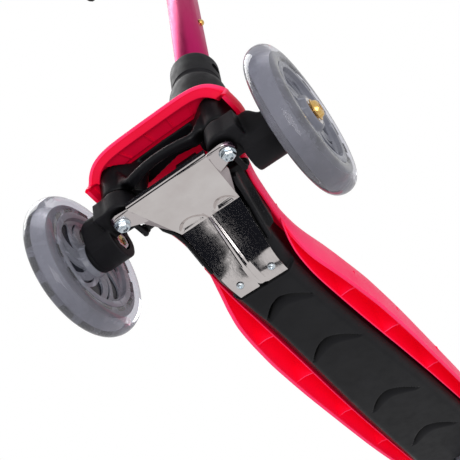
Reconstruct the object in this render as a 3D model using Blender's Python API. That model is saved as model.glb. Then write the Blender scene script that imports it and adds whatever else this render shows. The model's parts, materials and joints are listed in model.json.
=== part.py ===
"""Three-wheeled lean-to-steer kick scooter, built in metres with +X forward, +Y left and +Z up.

The wheels stand on z = 0. Driving dimensions are the constants below; side = 1 is left, -1 is right.
"""

import math

import bmesh
import bpy
from mathutils import Matrix, Vector

MM = 0.001
FRONT_AXLE_X = 0.2425

# wheels
FRONT_R = 0.060
FRONT_HALF_W = 0.0115
FRONT_Y = 0.09975
REAR_R = 0.040
REAR_HALF_W = 0.012
REAR_X = FRONT_AXLE_X - 0.505
BEARING_R = 0.011
BORE_R = 0.0041
WINDOW_SWEEP = 33.0
SHAFT_R = 0.004
NUT_BORE = 0.0048
FIT = 0.0003
TYRE_STEPS = 28
CORE_STEPS = 28
ROUND_STEPS = 20

# lean hinge, kingpins and tie bar
LEAN_Z = 0.092
KINGPIN_X = FRONT_AXLE_X + 0.0184
KINGPIN_Y = 0.0475
TIE_X = FRONT_AXLE_X - 0.008
TIE_Y = 0.046
TIE_Z = (0.0645, 0.0690)

# knuckle block, seen from the side: a round lobe about the axle, then the nose (x and z in mm)
LOBE_R = 0.0142
LOBE_TURN = (128, 172)
NOSE_OUTLINE = ((13, 51.5), (17.5, 57), (19.5, 63), (21.8, 70), (22.2, 75.5), (19, 79.3), (8, 80), (-2.5, 77.5))
BLOCK_Y = (0.0615, 0.0840)
BARREL_Z = (0.0565, 0.0755)
BARREL_R = 0.0135
BOSS_R = 0.0095
CUP_R = 0.0136

# steering column, stem and handlebar: heights run along the leaning stem from the lean axis
STEM_BACK = math.radians(5.6)
STEM_FOOT = Vector((FRONT_AXLE_X - 0.0435, 0.0, LEAN_Z))
STUB_R = (0.0125, 0.0145)
STEM_R = (0.0148, 0.0170)
UPPER_R = (0.0122, 0.0140)
COLLAR_H = (0.1703, 0.2030)
COLLAR_SCREW_H = 0.1850
SOCKET_H = 0.190
STUB_H = (0.060, 0.300)
STEM_H = (0.1903, 0.500)
UPPER_FOOT_H = 0.303
BUTTON_H = 0.2900
BAR_H = 0.610
BAR_HALF = 0.146
BAR_R = 0.010

# deck shell stations: x from the front axle, half-width, crown z, edge z, crown power, hem half-width, hem z
SHELL_STATIONS = (
    (38, 65, 117, 90, 2.0, 64.5, 85.0),
    (22, 66, 118.5, 91.5, 2.2, 65.5, 84.5),
    (5, 64, 120.5, 92, 2.3, 63.5, 86.0),
    (-15, 46, 120.5, 90, 2.6, 45.5, 78.0),
    (-45, 38.5, 120, 86, 3.0, 38.5, 73.0),
    (-72, 36.5, 117, 80, 3.0, 38.0, 62.0),
    (-90, 38.5, 107, 74, 3.0, 40.0, 49.0),
    (-105, 42, 95, 71, 3.0, 43.5, 42.0),
    (-125, 46, 84, 70, 3.4, 47.0, 39.5),
    (-155, 50.5, 77.5, 70, 4.0, 50.0, 39.0),
    (-195, 54.5, 75, 70, 4.0, 53.0, 39.0),
    (-260, 57, 75, 70, 4.0, 55.0, 39.0),
    (-350, 57.5, 75, 70, 4.0, 56.5, 39.0),
    (-420, 54.5, 75, 70, 4.0, 56.0, 39.5),
    (-443, 49.5, 74.5, 70, 4.0, 51.0, 42.0),
    (-452, 45.5, 74, 69.8, 4.0, 47.0, 47.0),
)
SHELL_WALL = 0.003
HOOD_RAKE = (0.38, 0.117, 0.060)
HOOD_CORNER = (0.009, 14.0)
RIB_STATIONS = (-157, -226, -303, -379)
RIB_FOOT = 0.0440
INNER_WALL = (0.0008, 0.0028)
INNER_WALL_X = (-446, -320, -260, -200, -152)
SLOT_HALF = (0.0235, 0.0305)

# underside beam stations: x from the front axle, half-width, underside z, top z
BEAM_STATIONS = (
    (-522, 25.0, 36.0, 48.0),
    (-512, 28.0, 32.0, 52.0),
    (-484, 28.0, 31.0, 57.0),
    (-471, 29.0, 31.0, 77.5),
    (-457, 32.0, 31.0, 77.5),
    (-453.0, 36.0, 31.0, 66.0),
    (-445, 41.0, 31.0, 66.8),
    (-320, 38.0, 31.0, 68.5),
    (-260, 35.0, 31.0, 69.0),
    (-200, 31.0, 31.0, 69.5),
    (-130, 28.5, 31.0, 69.5),
    (-92, 28.5, 31.0, 69.5),
    (-91.5, 28.5, 35.0, 69.5),
    (-79, 28.5, 35.4, 69.5),
    (-70, 28.5, 37.4, 69.5),
    (-58, 29.0, 43.4, 69.5),
    (-46, 30.0, 52.4, 69.5),
    (-40, 31.0, 57.0, 69.5),
)
BEAM_FLOOR = 0.031
BEAM_CHAMFER = (7.0, 8.0)
POCKET = ((-0.440, -0.112), 0.0245, 0.041)
CHEVRON_STATIONS = (-111, -183, -291, -374)
CHEVRON = {"half": 0.024, "sweep": 0.020, "bend": 1.7, "run": 0.0105, "depth": 0.0036}
FORK_SLOT = (0.0148, -0.4534)
FORK_OUTER = 0.0280

# steel base plate: x from the front axle, half-width, underside z
PLATE_STATIONS = (
    (-90.8, 22.2, 32.6),
    (-79, 22.6, 33.0),
    (-70, 23.2, 35.0),
    (-58, 24.2, 41.0),
    (-46, 25.2, 50.0),
    (-38, 26.0, 56.2),
    (-27.7, 27.0, 60.3),
    (0, 31.0, 55.0),
    (27.4, 35.2, 49.8),
)
PLATE_T = 0.002
EAR_OUTLINE = ((27, 32), (26.5, 50), (23, 54), (14, 54.5), (9.5, 50.5), (0, 30))
EAR_Z = (0.0525, 0.0548)
PLATE_SCREW = (FRONT_AXLE_X - 0.0788, 0.0146)

# brake over the rear wheel
BRAKE_PIVOT = Vector((FRONT_AXLE_X - 0.461, 0.0, 0.072))
FENDER_R = (0.0440, 0.0468)
FENDER_HALF_W = 0.0140
FENDER_ARC = (38, 146)

MATERIALS = {
    "shell_pink": ((0.92, 0.02, 0.12), 0.0, 0.45),
    "black_plastic": ((0.02, 0.02, 0.022), 0.0, 0.5),
    "steel": ((0.62, 0.60, 0.59), 1.0, 0.25),
    "zinc": ((0.62, 0.68, 0.72), 1.0, 0.3),
    "gold_zinc": ((0.80, 0.58, 0.20), 1.0, 0.3),
    "tube_magenta": ((0.55, 0.01, 0.13), 0.6, 0.35),
    "aluminium": ((0.75, 0.76, 0.78), 1.0, 0.3),
    "wheel_core": ((0.55, 0.56, 0.60), 0.0, 0.25),
    "wheel_tyre": ((0.62, 0.62, 0.68), 0.0, 0.2),
    "grip_rubber": ((0.03, 0.03, 0.03), 0.0, 0.85),
}


def clear_scene():
    for item in list(bpy.data.objects):
        bpy.data.objects.remove(item, do_unlink=True)


def make_collection(name):
    found = bpy.data.collections.new(name)
    bpy.context.scene.collection.children.link(found)
    return found


def make_material(name, colour, metallic, roughness):
    material = bpy.data.materials.new(name)
    material.use_nodes = True
    shader = material.node_tree.nodes["Principled BSDF"]
    shader.inputs["Base Color"].default_value = (*colour, 1.0)
    shader.inputs["Metallic"].default_value = metallic
    shader.inputs["Roughness"].default_value = roughness
    return material


def axle_x(x_mm):
    """World x of a station counted in millimetres from the front axle."""
    return FRONT_AXLE_X + x_mm * MM


def stem_point(height):
    return STEM_FOOT + height * stem_axis()


def stem_axis():
    return Vector((-math.sin(STEM_BACK), 0.0, math.cos(STEM_BACK)))


def mesh_from(name, vertices, faces):
    """A closed mesh with outward faces."""
    mesh = bpy.data.meshes.new(name)
    mesh.from_pydata([tuple(v) for v in vertices], [], faces)
    tidy_normals(mesh)
    return mesh


def tidy_normals(mesh):
    work = bmesh.new()
    work.from_mesh(mesh)
    bmesh.ops.remove_doubles(work, verts=work.verts, dist=MM * MM)
    bmesh.ops.recalc_face_normals(work, faces=work.faces)
    work.to_mesh(mesh)
    work.free()


def loft(name, loops):
    """Closed solid through loops of equal length, capped at both ends."""
    count = len(loops[0])
    vertices = [point for loop in loops for point in loop]
    faces = []
    for row in range(len(loops) - 1):
        low = row * count
        high = low + count
        for column in range(count):
            after = (column + 1) % count
            faces.append((low + column, low + after, high + after, high + column))
    faces.append(tuple(range(count)))
    faces.append(tuple(reversed(range(len(vertices) - count, len(vertices)))))
    return mesh_from(name, vertices, faces)


def shell_loft(name, loops):
    """Loft of thin arched sections: each end cap is a strip of quads between the outer and inner halves."""
    count = len(loops[0])
    half = count // 2
    vertices = [point for loop in loops for point in loop]
    faces = []
    for row in range(len(loops) - 1):
        low = row * count
        high = low + count
        for column in range(count):
            after = (column + 1) % count
            faces.append((low + column, low + after, high + after, high + column))
    for low in (0, len(vertices) - count):
        for column in range(half - 1):
            outer = low + column
            inner = low + count - 1 - column
            faces.append((outer, outer + 1, inner - 1, inner))
    return mesh_from(name, vertices, faces)


def box(name, low, high):
    corners = [(x, y, z) for z in (low[2], high[2]) for x, y in (
        (low[0], low[1]), (high[0], low[1]), (high[0], high[1]), (low[0], high[1]))]
    return loft(name, (corners[:4], corners[4:]))


def prism(name, outline, axis, low, high):
    """Outline of 2-D points extruded along an axis: 'y' takes (x, z) points and 'z' takes (x, y) points."""
    loops = []
    for level in (low, high):
        if axis == "y":
            loops.append([(x, level, z) for x, z in outline])
        else:
            loops.append([(x, y, level) for x, y in outline])
    return loft(name, loops)


def revolve(name, profile, steps, start, axis):
    """Solid of revolution: closed (radius, height) profile turned about an axis through start."""
    turn = axis_matrix(start, axis)
    loops = []
    for step in range(steps):
        angle = 2 * math.pi * step / steps
        loops.append([
            turn @ Vector((radius * math.cos(angle), radius * math.sin(angle), height))
            for radius, height in profile
        ])
    count = len(profile)
    vertices = [point for loop in loops for point in loop]
    faces = []
    for step in range(steps):
        low = step * count
        high = ((step + 1) % steps) * count
        for row in range(count):
            after = (row + 1) % count
            faces.append((low + row, low + after, high + after, high + row))
    mesh = bpy.data.meshes.new(name)
    mesh.from_pydata([tuple(v) for v in vertices], [], faces)
    work = bmesh.new()
    work.from_mesh(mesh)
    bmesh.ops.remove_doubles(work, verts=work.verts, dist=MM * MM)
    bmesh.ops.dissolve_degenerate(work, edges=work.edges, dist=MM * MM)
    loose = [edge for edge in work.edges if not edge.link_faces]
    bmesh.ops.delete(work, geom=loose, context="EDGES")
    bmesh.ops.recalc_face_normals(work, faces=work.faces)
    work.to_mesh(mesh)
    work.free()
    return mesh


def axis_matrix(start, axis):
    turn = Vector((0, 0, 1)).rotation_difference(Vector(axis)).to_matrix().to_4x4()
    return Matrix.Translation(Vector(start)) @ turn


def rod(name, start, axis, low, high, radius, steps=ROUND_STEPS):
    return revolve(name, ((0, low), (radius, low), (radius, high), (0, high)), steps, start, axis)


def ring(name, start, axis, low, high, inner, outer, steps=ROUND_STEPS):
    profile = ((inner, low), (outer, low), (outer, high), (inner, high))
    return revolve(name, profile, steps, start, axis)


class Builder:
    """Keeps the collections and materials, and turns meshes into finished nodes."""

    def __init__(self):
        self.parts = make_collection("kick_scooter")
        self.cutters = make_collection("kick_scooter_cutters")
        self.materials = {name: make_material(name, *look) for name, look in MATERIALS.items()}

    def node(self, name, mesh, material, origin=(0, 0, 0)):
        item = bpy.data.objects.new(name, mesh)
        mesh.transform(Matrix.Translation(-Vector(origin)))
        item.location = origin
        mesh.materials.clear()
        mesh.materials.append(self.materials[material])
        self.parts.objects.link(item)
        return item

    def change(self, item, mesh, operation):
        """Adds an exact Boolean with a hidden cutter made from the mesh."""
        cutter = bpy.data.objects.new(mesh.name + "_cutter", mesh)
        self.cutters.objects.link(cutter)
        cutter.hide_render = True
        cutter.display_type = "WIRE"
        modifier = item.modifiers.new(mesh.name, "BOOLEAN")
        modifier.operation = operation
        modifier.solver = "EXACT"
        modifier.object = cutter

    def cut(self, item, mesh):
        self.change(item, mesh, "DIFFERENCE")

    def join(self, item, mesh):
        self.change(item, mesh, "UNION")


def shell_half(station, inset):
    """Right-to-left arch of one shell station, inset by the wall thickness for the inner face."""
    x, half, crown, edge, power, hem_half, hem = station
    steps = 8
    points = [(-(hem_half - inset), hem)]
    for step in range(-steps, steps + 1):
        share = step / steps
        reach = math.sin(share * math.pi / 2)
        height = edge + (crown - edge) * (1 - abs(reach) ** power)
        points.append(((half - inset) * reach, height - inset))
    points.append((hem_half - inset, hem))
    rake, level, nose = HOOD_RAKE
    bend, sharpness = HOOD_CORNER
    front = max(0.0, 1 + (x - SHELL_STATIONS[0][0]) * MM / nose)
    loop = []
    for y, z in points:
        lean = rake * (level - z * MM) - bend * (abs(y) / half) ** sharpness
        loop.append((axle_x(x) + front * lean, y * MM, z * MM))
    return loop


def deck_shell(build):
    """Moulded deck top and hood: a thin arch with inner walls and cross ribs under it."""
    inset = SHELL_WALL / MM
    loops = [shell_half(s, 0) + list(reversed(shell_half(s, inset))) for s in SHELL_STATIONS]
    shell = build.node("deck_shell", shell_loft("deck_shell", loops), "shell_pink")
    slot_x, slot_y = SLOT_HALF
    centre = stem_point(0.027)
    outline = []
    for step in range(ROUND_STEPS):
        angle = 2 * math.pi * step / ROUND_STEPS
        straight = math.copysign(slot_y - slot_x, math.sin(angle))
        outline.append((centre.x + slot_x * math.cos(angle), slot_x * math.sin(angle) + straight))
    build.cut(shell, prism("column_slot", outline, "z", 0.1, 0.13))
    near, far = INNER_WALL
    for side in (-1, 1):
        loops = []
        for x in INNER_WALL_X:
            beam = interpolate(BEAM_STATIONS, 1, x)
            loops.append([
                (axle_x(x), side * (beam + near), 0.050), (axle_x(x), side * (beam + far), 0.050),
                (axle_x(x), side * (beam + far), 0.0716), (axle_x(x), side * (beam + near), 0.0716),
            ])
        build.join(shell, loft("inner_wall", loops))
        for x in RIB_STATIONS:
            hem = interpolate(SHELL_STATIONS, 5, x)
            edge = interpolate(SHELL_STATIONS, 1, x)
            wall = interpolate(BEAM_STATIONS, 1, x) + near + MM
            foot = [(side * wall, RIB_FOOT), (side * (hem - 1.6 * MM), RIB_FOOT),
                    (side * (edge - 1.2 * MM), 0.0690), (side * wall, 0.0716)]
            loops = [[(axle_x(x) + shift, y, z) for y, z in foot] for shift in (-MM, MM)]
            build.join(shell, loft("rib", loops))
    return shell


def interpolate(stations, column, x):
    """Value in metres of a station column at a station x, linear between its neighbours."""
    ordered = sorted(stations)
    for near, far in zip(ordered, ordered[1:]):
        if near[0] <= x <= far[0]:
            share = (x - near[0]) / (far[0] - near[0])
            return (near[column] + (far[column] - near[column]) * share) * MM
    return ordered[0][column] * MM


def beam_section(x, half, low, top):
    inset, rise = BEAM_CHAMFER
    outline = (
        (-half, top), (-half, low + rise), (-(half - inset), low),
        (half - inset, low), (half, low + rise), (half, top),
    )
    return [(axle_x(x), y * MM, z * MM) for y, z in outline]


def chevron_cutter(x):
    """Crescent recess: a sharp swept edge in front, from where it ramps back out to the rear."""
    half = CHEVRON["half"]
    columns = 8
    base = BEAM_FLOOR
    below = base - 0.004
    vertices = []
    for step in range(-columns, columns + 1):
        share = step / columns
        y = half * share
        front = axle_x(x) - CHEVRON["sweep"] * abs(share) ** CHEVRON["bend"]
        rear = front - CHEVRON["run"] * (1 - share * share) - MM
        vertices.append((front, y, below))
        vertices.append((front, y, base + CHEVRON["depth"]))
        vertices.append((rear, y, base - MM))
        vertices.append((rear, y, below))
    loops = [vertices[index:index + 4] for index in range(0, len(vertices), 4)]
    return loft("chevron", loops)


def chassis_beam(build):
    """Black underside beam with its neck, chevron recesses and the rear fork."""
    beam = build.node("chassis_beam", loft("chassis_beam", [beam_section(*s) for s in BEAM_STATIONS]),
                      "black_plastic")
    (rear, front), half, floor = POCKET
    build.cut(beam, box("pocket", (FRONT_AXLE_X + rear, -half, floor), (FRONT_AXLE_X + front, half, 0.08)))
    for x in CHEVRON_STATIONS:
        build.cut(beam, chevron_cutter(x))
    half, start = FORK_SLOT
    build.cut(beam, box("wheel_slot", (FRONT_AXLE_X - 0.6, -half, 0), (FRONT_AXLE_X + start, half, 0.1)))
    span = FORK_OUTER + 5 * MM
    build.cut(beam, rod("rear_axle_bore", (REAR_X, 0, REAR_R), (0, 1, 0), -span, span, BORE_R))
    build.cut(beam, rod("brake_bore", BRAKE_PIVOT, (0, 1, 0), -span, span, 0.0031))
    for side in (-1, 1):
        place = (PLATE_SCREW[0], side * PLATE_SCREW[1], 0)
        build.cut(beam, rod("screw_bore", place, (0, 0, 1), 0.03, 0.0452, 0.0021))
    return beam


def head_frame(build):
    """Fixed steering head: lean-pin barrel, saddle, wings to the kingpin barrels and the bowed front bar."""
    barrel_x = (axle_x(-62), axle_x(-17.3))
    pivot = (0, 0, LEAN_Z)
    head = build.node("head_frame", rod("lean_barrel", pivot, (1, 0, 0), *barrel_x, 0.012), "black_plastic")
    build.join(head, box("leg", (axle_x(-59), -0.009, 0.073), (axle_x(-20), 0.009, 0.090)))
    build.join(head, box("saddle", (axle_x(-60), -0.026, 0.0698), (axle_x(-19), 0.026, 0.0780)))
    for side in (-1, 1):
        sections = (
            (-52, -20, 14, 71, 77.5), (-44, -12, 26, 74, 84), (-18, 14, 35, 89.2, 97), (9.5, 27.3, 49.3, 89.5, 93.1),
        )
        loops = [[
            (axle_x(rear), side * y * MM, low * MM), (axle_x(front), side * y * MM, low * MM),
            (axle_x(front), side * y * MM, top * MM), (axle_x(rear), side * y * MM, top * MM),
        ] for rear, front, y, low, top in sections]
        build.join(head, loft("wing", loops))
        place = (KINGPIN_X, side * KINGPIN_Y, 0)
        build.join(head, rod("kingpin_barrel", place, (0, 0, 1), BARREL_Z[1] + 0.0007, 0.0935, BOSS_R))
    loops = []
    for step in range(-8, 9):
        share = step / 8
        y = 0.0425 * share
        rear = axle_x(29 - 14 * share * share)
        front = axle_x(36.5 - 8 * share * share)
        low = 0.072 + 0.0050 * min(1.0, max(0.0, abs(share) - 0.60) * 8)
        loops.append([(rear, y, low), (front, y, low), (front, y, low + 0.008), (rear, y, low + 0.008)])
    build.join(head, loft("front_bar", loops))
    for side in (-1, 1):
        place = (KINGPIN_X, side * KINGPIN_Y, 0)
        build.cut(head, rod("kingpin_bore", place, (0, 0, 1), 0.07, 0.1, BORE_R, 18))
    build.cut(head, rod("lean_bore", pivot, (1, 0, 0), axle_x(-64), axle_x(-15), BORE_R))
    return head


def base_plate(build):
    """Bent steel sheet under the neck, with ears that carry the kingpin bolts."""
    loops = []
    for x, half, low in PLATE_STATIONS:
        z = low * MM
        loops.append([
            (axle_x(x), -half * MM, z), (axle_x(x), half * MM, z),
            (axle_x(x), half * MM, z + PLATE_T), (axle_x(x), -half * MM, z + PLATE_T),
        ])
    plate = build.node("base_plate", loft("base_plate", loops), "steel")
    build.join(plate, box("flange", (axle_x(26.2), -0.0351, 0.0500), (axle_x(28.4), 0.0351, 0.0552)))
    for side in (-1, 1):
        outline = [(axle_x(x), side * y * MM) for x, y in EAR_OUTLINE]
        build.join(plate, prism("ear", outline, "z", *EAR_Z))
        place = (KINGPIN_X, side * KINGPIN_Y, 0)
        build.cut(plate, rod("kingpin_hole", place, (0, 0, 1), 0.04, 0.07, BORE_R))
        place = (PLATE_SCREW[0], side * PLATE_SCREW[1], 0)
        build.cut(plate, rod("screw_hole", place, (0, 0, 1), 0.02, 0.04, 0.0021))
    return plate


def bolt(build, name, material, start, axis, head, shaft, head_r, shaft_r=SHAFT_R):
    """Hex-headed bolt: head and shaft are (low, high) spans along the axis and overlap slightly."""
    item = build.node(name, rod(name, start, axis, *shaft, shaft_r, 14), material, start)
    hexagon = rod("hex", (0, 0, 0), axis, *head, head_r, 6)
    build.join(item, hexagon)
    return item


def place_cutters_on(items):
    """Cutters of moved nodes follow the node's origin."""
    for item in items:
        for modifier in item.modifiers:
            if modifier.type == "BOOLEAN" and modifier.object.name.startswith("hex"):
                modifier.object.location = item.location


def wheel_core(build, name, centre, radius, half):
    """Moulded wheel centre: hub, web with swept windows and the rim under the tyre."""
    rim = radius - 0.019 * radius / FRONT_R
    rim_in = rim - 0.0045
    hub = BEARING_R + 0.0035
    web = half * 0.45
    profile = (
        (BEARING_R + 0.0001, -(half - FIT)), (hub, -(half - FIT)), (hub, -web), (rim_in, -web),
        (rim_in, -half * 0.8), (rim, -half * 0.8), (rim, half * 0.8), (rim_in, half * 0.8),
        (rim_in, web), (hub, web), (hub, half - FIT), (BEARING_R + 0.0001, half - FIT),
    )
    core = build.node(name, revolve(name, profile, CORE_STEPS, centre, (0, 1, 0)), "wheel_core", centre)
    windows = 6
    for index in range(windows):
        base = 2 * math.pi * index / windows
        outline = []
        rows = 3
        inner_r = hub + 0.002
        outer_r = rim_in - 0.0015
        sweep = WINDOW_SWEEP * (outer_r - inner_r)
        for edge, order in ((-1, range(rows + 1)), (1, range(rows, -1, -1))):
            for row in order:
                share = row / rows
                reach = inner_r + (outer_r - inner_r) * share
                angle = base + sweep * share + edge * (0.24 + 0.13 * share)
                outline.append((reach * math.cos(angle), reach * math.sin(angle)))
        cutter = prism("window", outline, "y", -half, half)
        cutter.transform(Matrix.Translation(Vector(centre)))
        build.cut(core, cutter)
    return core


def wheel_tyre(build, name, centre, radius, half):
    """Solid tyre with a half-elliptic tread."""
    rim = radius - 0.019 * radius / FRONT_R + 0.0002
    shoulder = radius * 0.8
    profile = [(rim, -half * 0.84), (rim + 0.004, -half)]
    steps = 4
    for step in range(-steps, steps + 1):
        angle = math.pi / 2 * step / steps
        reach = shoulder + (radius - shoulder) * math.cos(angle)
        profile.append((reach, half * math.sin(angle)))
    profile += [(rim + 0.004, half), (rim, half * 0.84)]
    mesh = revolve(name, profile, TYRE_STEPS, centre, (0, 1, 0))
    return build.node(name, mesh, "wheel_tyre", centre)


def wheel(build, prefix, centre, radius, half):
    wheel_core(build, prefix + "_core", centre, radius, half)
    wheel_tyre(build, prefix + "_tyre", centre, radius, half)
    width = min(0.0065, half * 0.6)
    for tag, low in (("in", -(half - FIT)), ("out", half - FIT - width)):
        mesh = ring(prefix + "_bearing_" + tag, centre, (0, 1, 0), low, low + width, BORE_R, BEARING_R, 14)
        build.node(prefix + "_bearing_" + tag, mesh, "steel", centre)


def knuckle(build, side):
    """Steering knuckle: kingpin barrel, lobe around the axle, and an arm back to the tie bar."""
    name = "knuckle_left" if side > 0 else "knuckle_right"
    kingpin = (KINGPIN_X, side * KINGPIN_Y, 0)
    axle = (FRONT_AXLE_X, 0, FRONT_R)
    mesh = rod(name, kingpin, (0, 0, 1), *BARREL_Z, BARREL_R)
    item = build.node(name, mesh, "black_plastic", kingpin)
    low, high = sorted((side * BLOCK_Y[0], side * BLOCK_Y[1]))
    outline = []
    for step in range(ROUND_STEPS + 1):
        angle = math.radians(LOBE_TURN[0] + LOBE_TURN[1] * step / ROUND_STEPS)
        outline.append((FRONT_AXLE_X + LOBE_R * math.cos(angle), FRONT_R + LOBE_R * math.sin(angle)))
    outline += [(axle_x(x), z * MM) for x, z in NOSE_OUTLINE]
    build.join(item, prism("lobe", outline, "y", low, high))
    low, high = sorted((side * 0.0520, side * (BLOCK_Y[0] + MM)))
    build.join(item, box("shoulder", (axle_x(9), low, 0.0575), (axle_x(19), high, 0.0750)))
    low, high = sorted((side * (BLOCK_Y[1] - MM), side * 0.0875))
    build.join(item, rod("boss", axle, (0, 1, 0), low, high, CUP_R))
    low, high = sorted((side * (TIE_Y - 0.005), side * (TIE_Y + 0.005)))
    build.join(item, box("arm", (TIE_X - 0.005, low, 0.0585), (KINGPIN_X - 0.006, high, 0.0635)))
    place = (TIE_X, side * TIE_Y, 0)
    build.join(item, rod("tie_pin", place, (0, 0, 1), 0.060, 0.0705, 0.0025, 16))
    build.cut(item, rod("kingpin_bore", kingpin, (0, 0, 1), 0.05, 0.095, BORE_R))
    low, high = sorted((side * 0.0600, side * 0.095))
    build.cut(item, rod("axle_bore", axle, (0, 1, 0), low, high, BORE_R))
    low, high = sorted((side * 0.0600, side * 0.0673))
    build.cut(item, rod("nut_recess", axle, (0, 1, 0), low, high, 0.0084, 28))


def tie_bar(build):
    """Link that turns both knuckles together, slotted for the column's tongue and the knuckle pins."""
    origin = (TIE_X, 0, sum(TIE_Z) / 2)
    mesh = box("tie_bar", (TIE_X - 0.0075, -0.051, TIE_Z[0]), (TIE_X + 0.006, 0.051, TIE_Z[1]))
    item = build.node("tie_bar", mesh, "black_plastic", origin)
    build.cut(item, box("tongue_slot", (TIE_X - 0.0045, -0.0043, 0.06), (TIE_X + 0.0015, 0.0043, 0.075)))
    for side in (-1, 1):
        low = side * TIE_Y - 0.0030
        slot = box("pin_slot", (TIE_X - 0.0034, low, 0.06), (TIE_X + 0.0045, low + 0.0060, 0.075))
        build.cut(item, slot)


def front_end(build):
    for side in (-1, 1):
        tag = "left" if side > 0 else "right"
        centre = (FRONT_AXLE_X, side * FRONT_Y, FRONT_R)
        wheel(build, "front_wheel_" + tag, centre, FRONT_R, FRONT_HALF_W)
        knuckle(build, side)
        kingpin = (KINGPIN_X, side * KINGPIN_Y, 0)
        bolt(build, "kingpin_" + tag, "zinc", kingpin, (0, 0, 1), (0.0475, 0.0522), (0.0500, 0.0930), 0.0064)
        axle = (FRONT_AXLE_X, 0, FRONT_R)
        outward = (0, side, 0)
        head = (FRONT_Y + FRONT_HALF_W + FIT, FRONT_Y + FRONT_HALF_W + 0.0045)
        bolt(build, "axle_bolt_" + tag, "gold_zinc", axle, outward, head, (0.0612, head[1] - MM), 0.0066)
        nut = ring("axle_nut_" + tag, axle, outward, 0.0622, 0.0669, NUT_BORE, 0.0072, 6)
        build.node("axle_nut_" + tag, nut, "zinc", axle)
    for side in (-1, 1):
        tag = "left" if side > 0 else "right"
        place = (PLATE_SCREW[0], side * PLATE_SCREW[1], 0)
        profile = (
            (0, 0.0306), (0.0022, 0.0306), (0.0038, 0.0313), (0.0042, 0.0325),
            (0.0019, 0.0325), (0.0019, 0.0450), (0, 0.0450),
        )
        build.node("plate_screw_" + tag, revolve("screw", profile, 12, place, (0, 0, 1)), "zinc", place)
    tie_bar(build)


def column(build):
    """Leaning column: housing with the lean lugs, clamp collar, its bolt and the stub tube."""
    axis = stem_axis()
    profile = (
        (0, 0.0150), (0.0195, 0.0150), (0.0195, 0.0335), (0.0265, 0.0350), (0.0280, 0.0370),
        (0.0280, 0.1600), (0.0270, 0.1640), (0.0235, 0.1700), (0.0148, 0.1700), (0.0148, 0.0580), (0, 0.0580),
    )
    housing = build.node("column_housing", revolve("column_housing", profile, 28, STEM_FOOT, axis),
                         "black_plastic", STEM_FOOT)
    pivot = (0, 0, LEAN_Z)
    for low, high in ((-72, -62.3), (-17, -7)):
        build.join(housing, rod("lug", pivot, (1, 0, 0), axle_x(low), axle_x(high), 0.0110))
        build.join(housing, box("lug_web", (axle_x(low + 0.5), -0.0088, LEAN_Z), (axle_x(high - 0.5), 0.0088, 0.1085)))
    build.join(housing, box("bridge", (axle_x(-71), -0.0095, 0.1045), (axle_x(-8), 0.0095, 0.1108)))
    build.join(housing, box("tongue", (TIE_X - 0.0040, -0.003, 0.0630), (TIE_X + 0.0004, 0.003, 0.086)))
    build.cut(housing, rod("lean_hole", pivot, (1, 0, 0), axle_x(-80), axle_x(0), BORE_R))
    low, high = COLLAR_H
    profile = (
        (STUB_R[1] + 0.0002, low), (0.0232, low), (0.0235, low + MM), (0.0235, high - MM), (0.0228, high),
        (STEM_R[1] + FIT, high), (STEM_R[1] + FIT, SOCKET_H - 0.0005), (STUB_R[1] + 0.0002, SOCKET_H - 0.0005),
    )
    collar = build.node("column_collar", revolve("column_collar", profile, 28, STEM_FOOT, axis),
                        "black_plastic", STEM_FOOT)
    spot = stem_point(COLLAR_SCREW_H)
    bore = ((0, 0.0100), (0.0026, 0.0100), (0.0026, 0.0180), (0.0056, 0.0180), (0.0056, 0.0300), (0, 0.0300))
    build.cut(collar, revolve("screw_recess", bore, 20, spot, (0, 1, 0)))
    bolt_profile = (
        (0, 0.0152), (0.0024, 0.0152), (0.0024, 0.0183), (0.0048, 0.0183), (0.0048, 0.0212), (0, 0.0212),
    )
    build.node("collar_bolt", revolve("collar_bolt", bolt_profile, 14, spot, (0, 1, 0)), "zinc", spot)
    stub = ring("stub_tube", STEM_FOOT, axis, *STUB_H, *STUB_R)
    stub_item = build.node("stub_tube", stub, "aluminium", STEM_FOOT)
    button = stem_point(BUTTON_H)
    build.cut(stub_item, rod("button_hole", button, (0, 1, 0), 0, 0.03, 0.0036, 20))
    profile = (
        (0, 0.0085), (0.0046, 0.0085), (0.0046, 0.0108), (0.0033, 0.0108), (0.0033, 0.0178),
        (0.0028, 0.0190), (0.0016, 0.0198), (0, 0.0200),
    )
    build.node("snap_button", revolve("snap_button", profile, 12, button, (0, 1, 0)), "gold_zinc", button)
    profile = (
        (0, axle_x(-76.5)), (0.0068, axle_x(-76.5)), (0.0068, axle_x(-72.4)), (SHAFT_R, axle_x(-72.4)),
        (SHAFT_R, axle_x(-5.5)), (0, axle_x(-5.5)),
    )
    build.node("lean_pin", revolve("lean_pin", profile, 14, pivot, (1, 0, 0)), "zinc", pivot)


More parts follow.
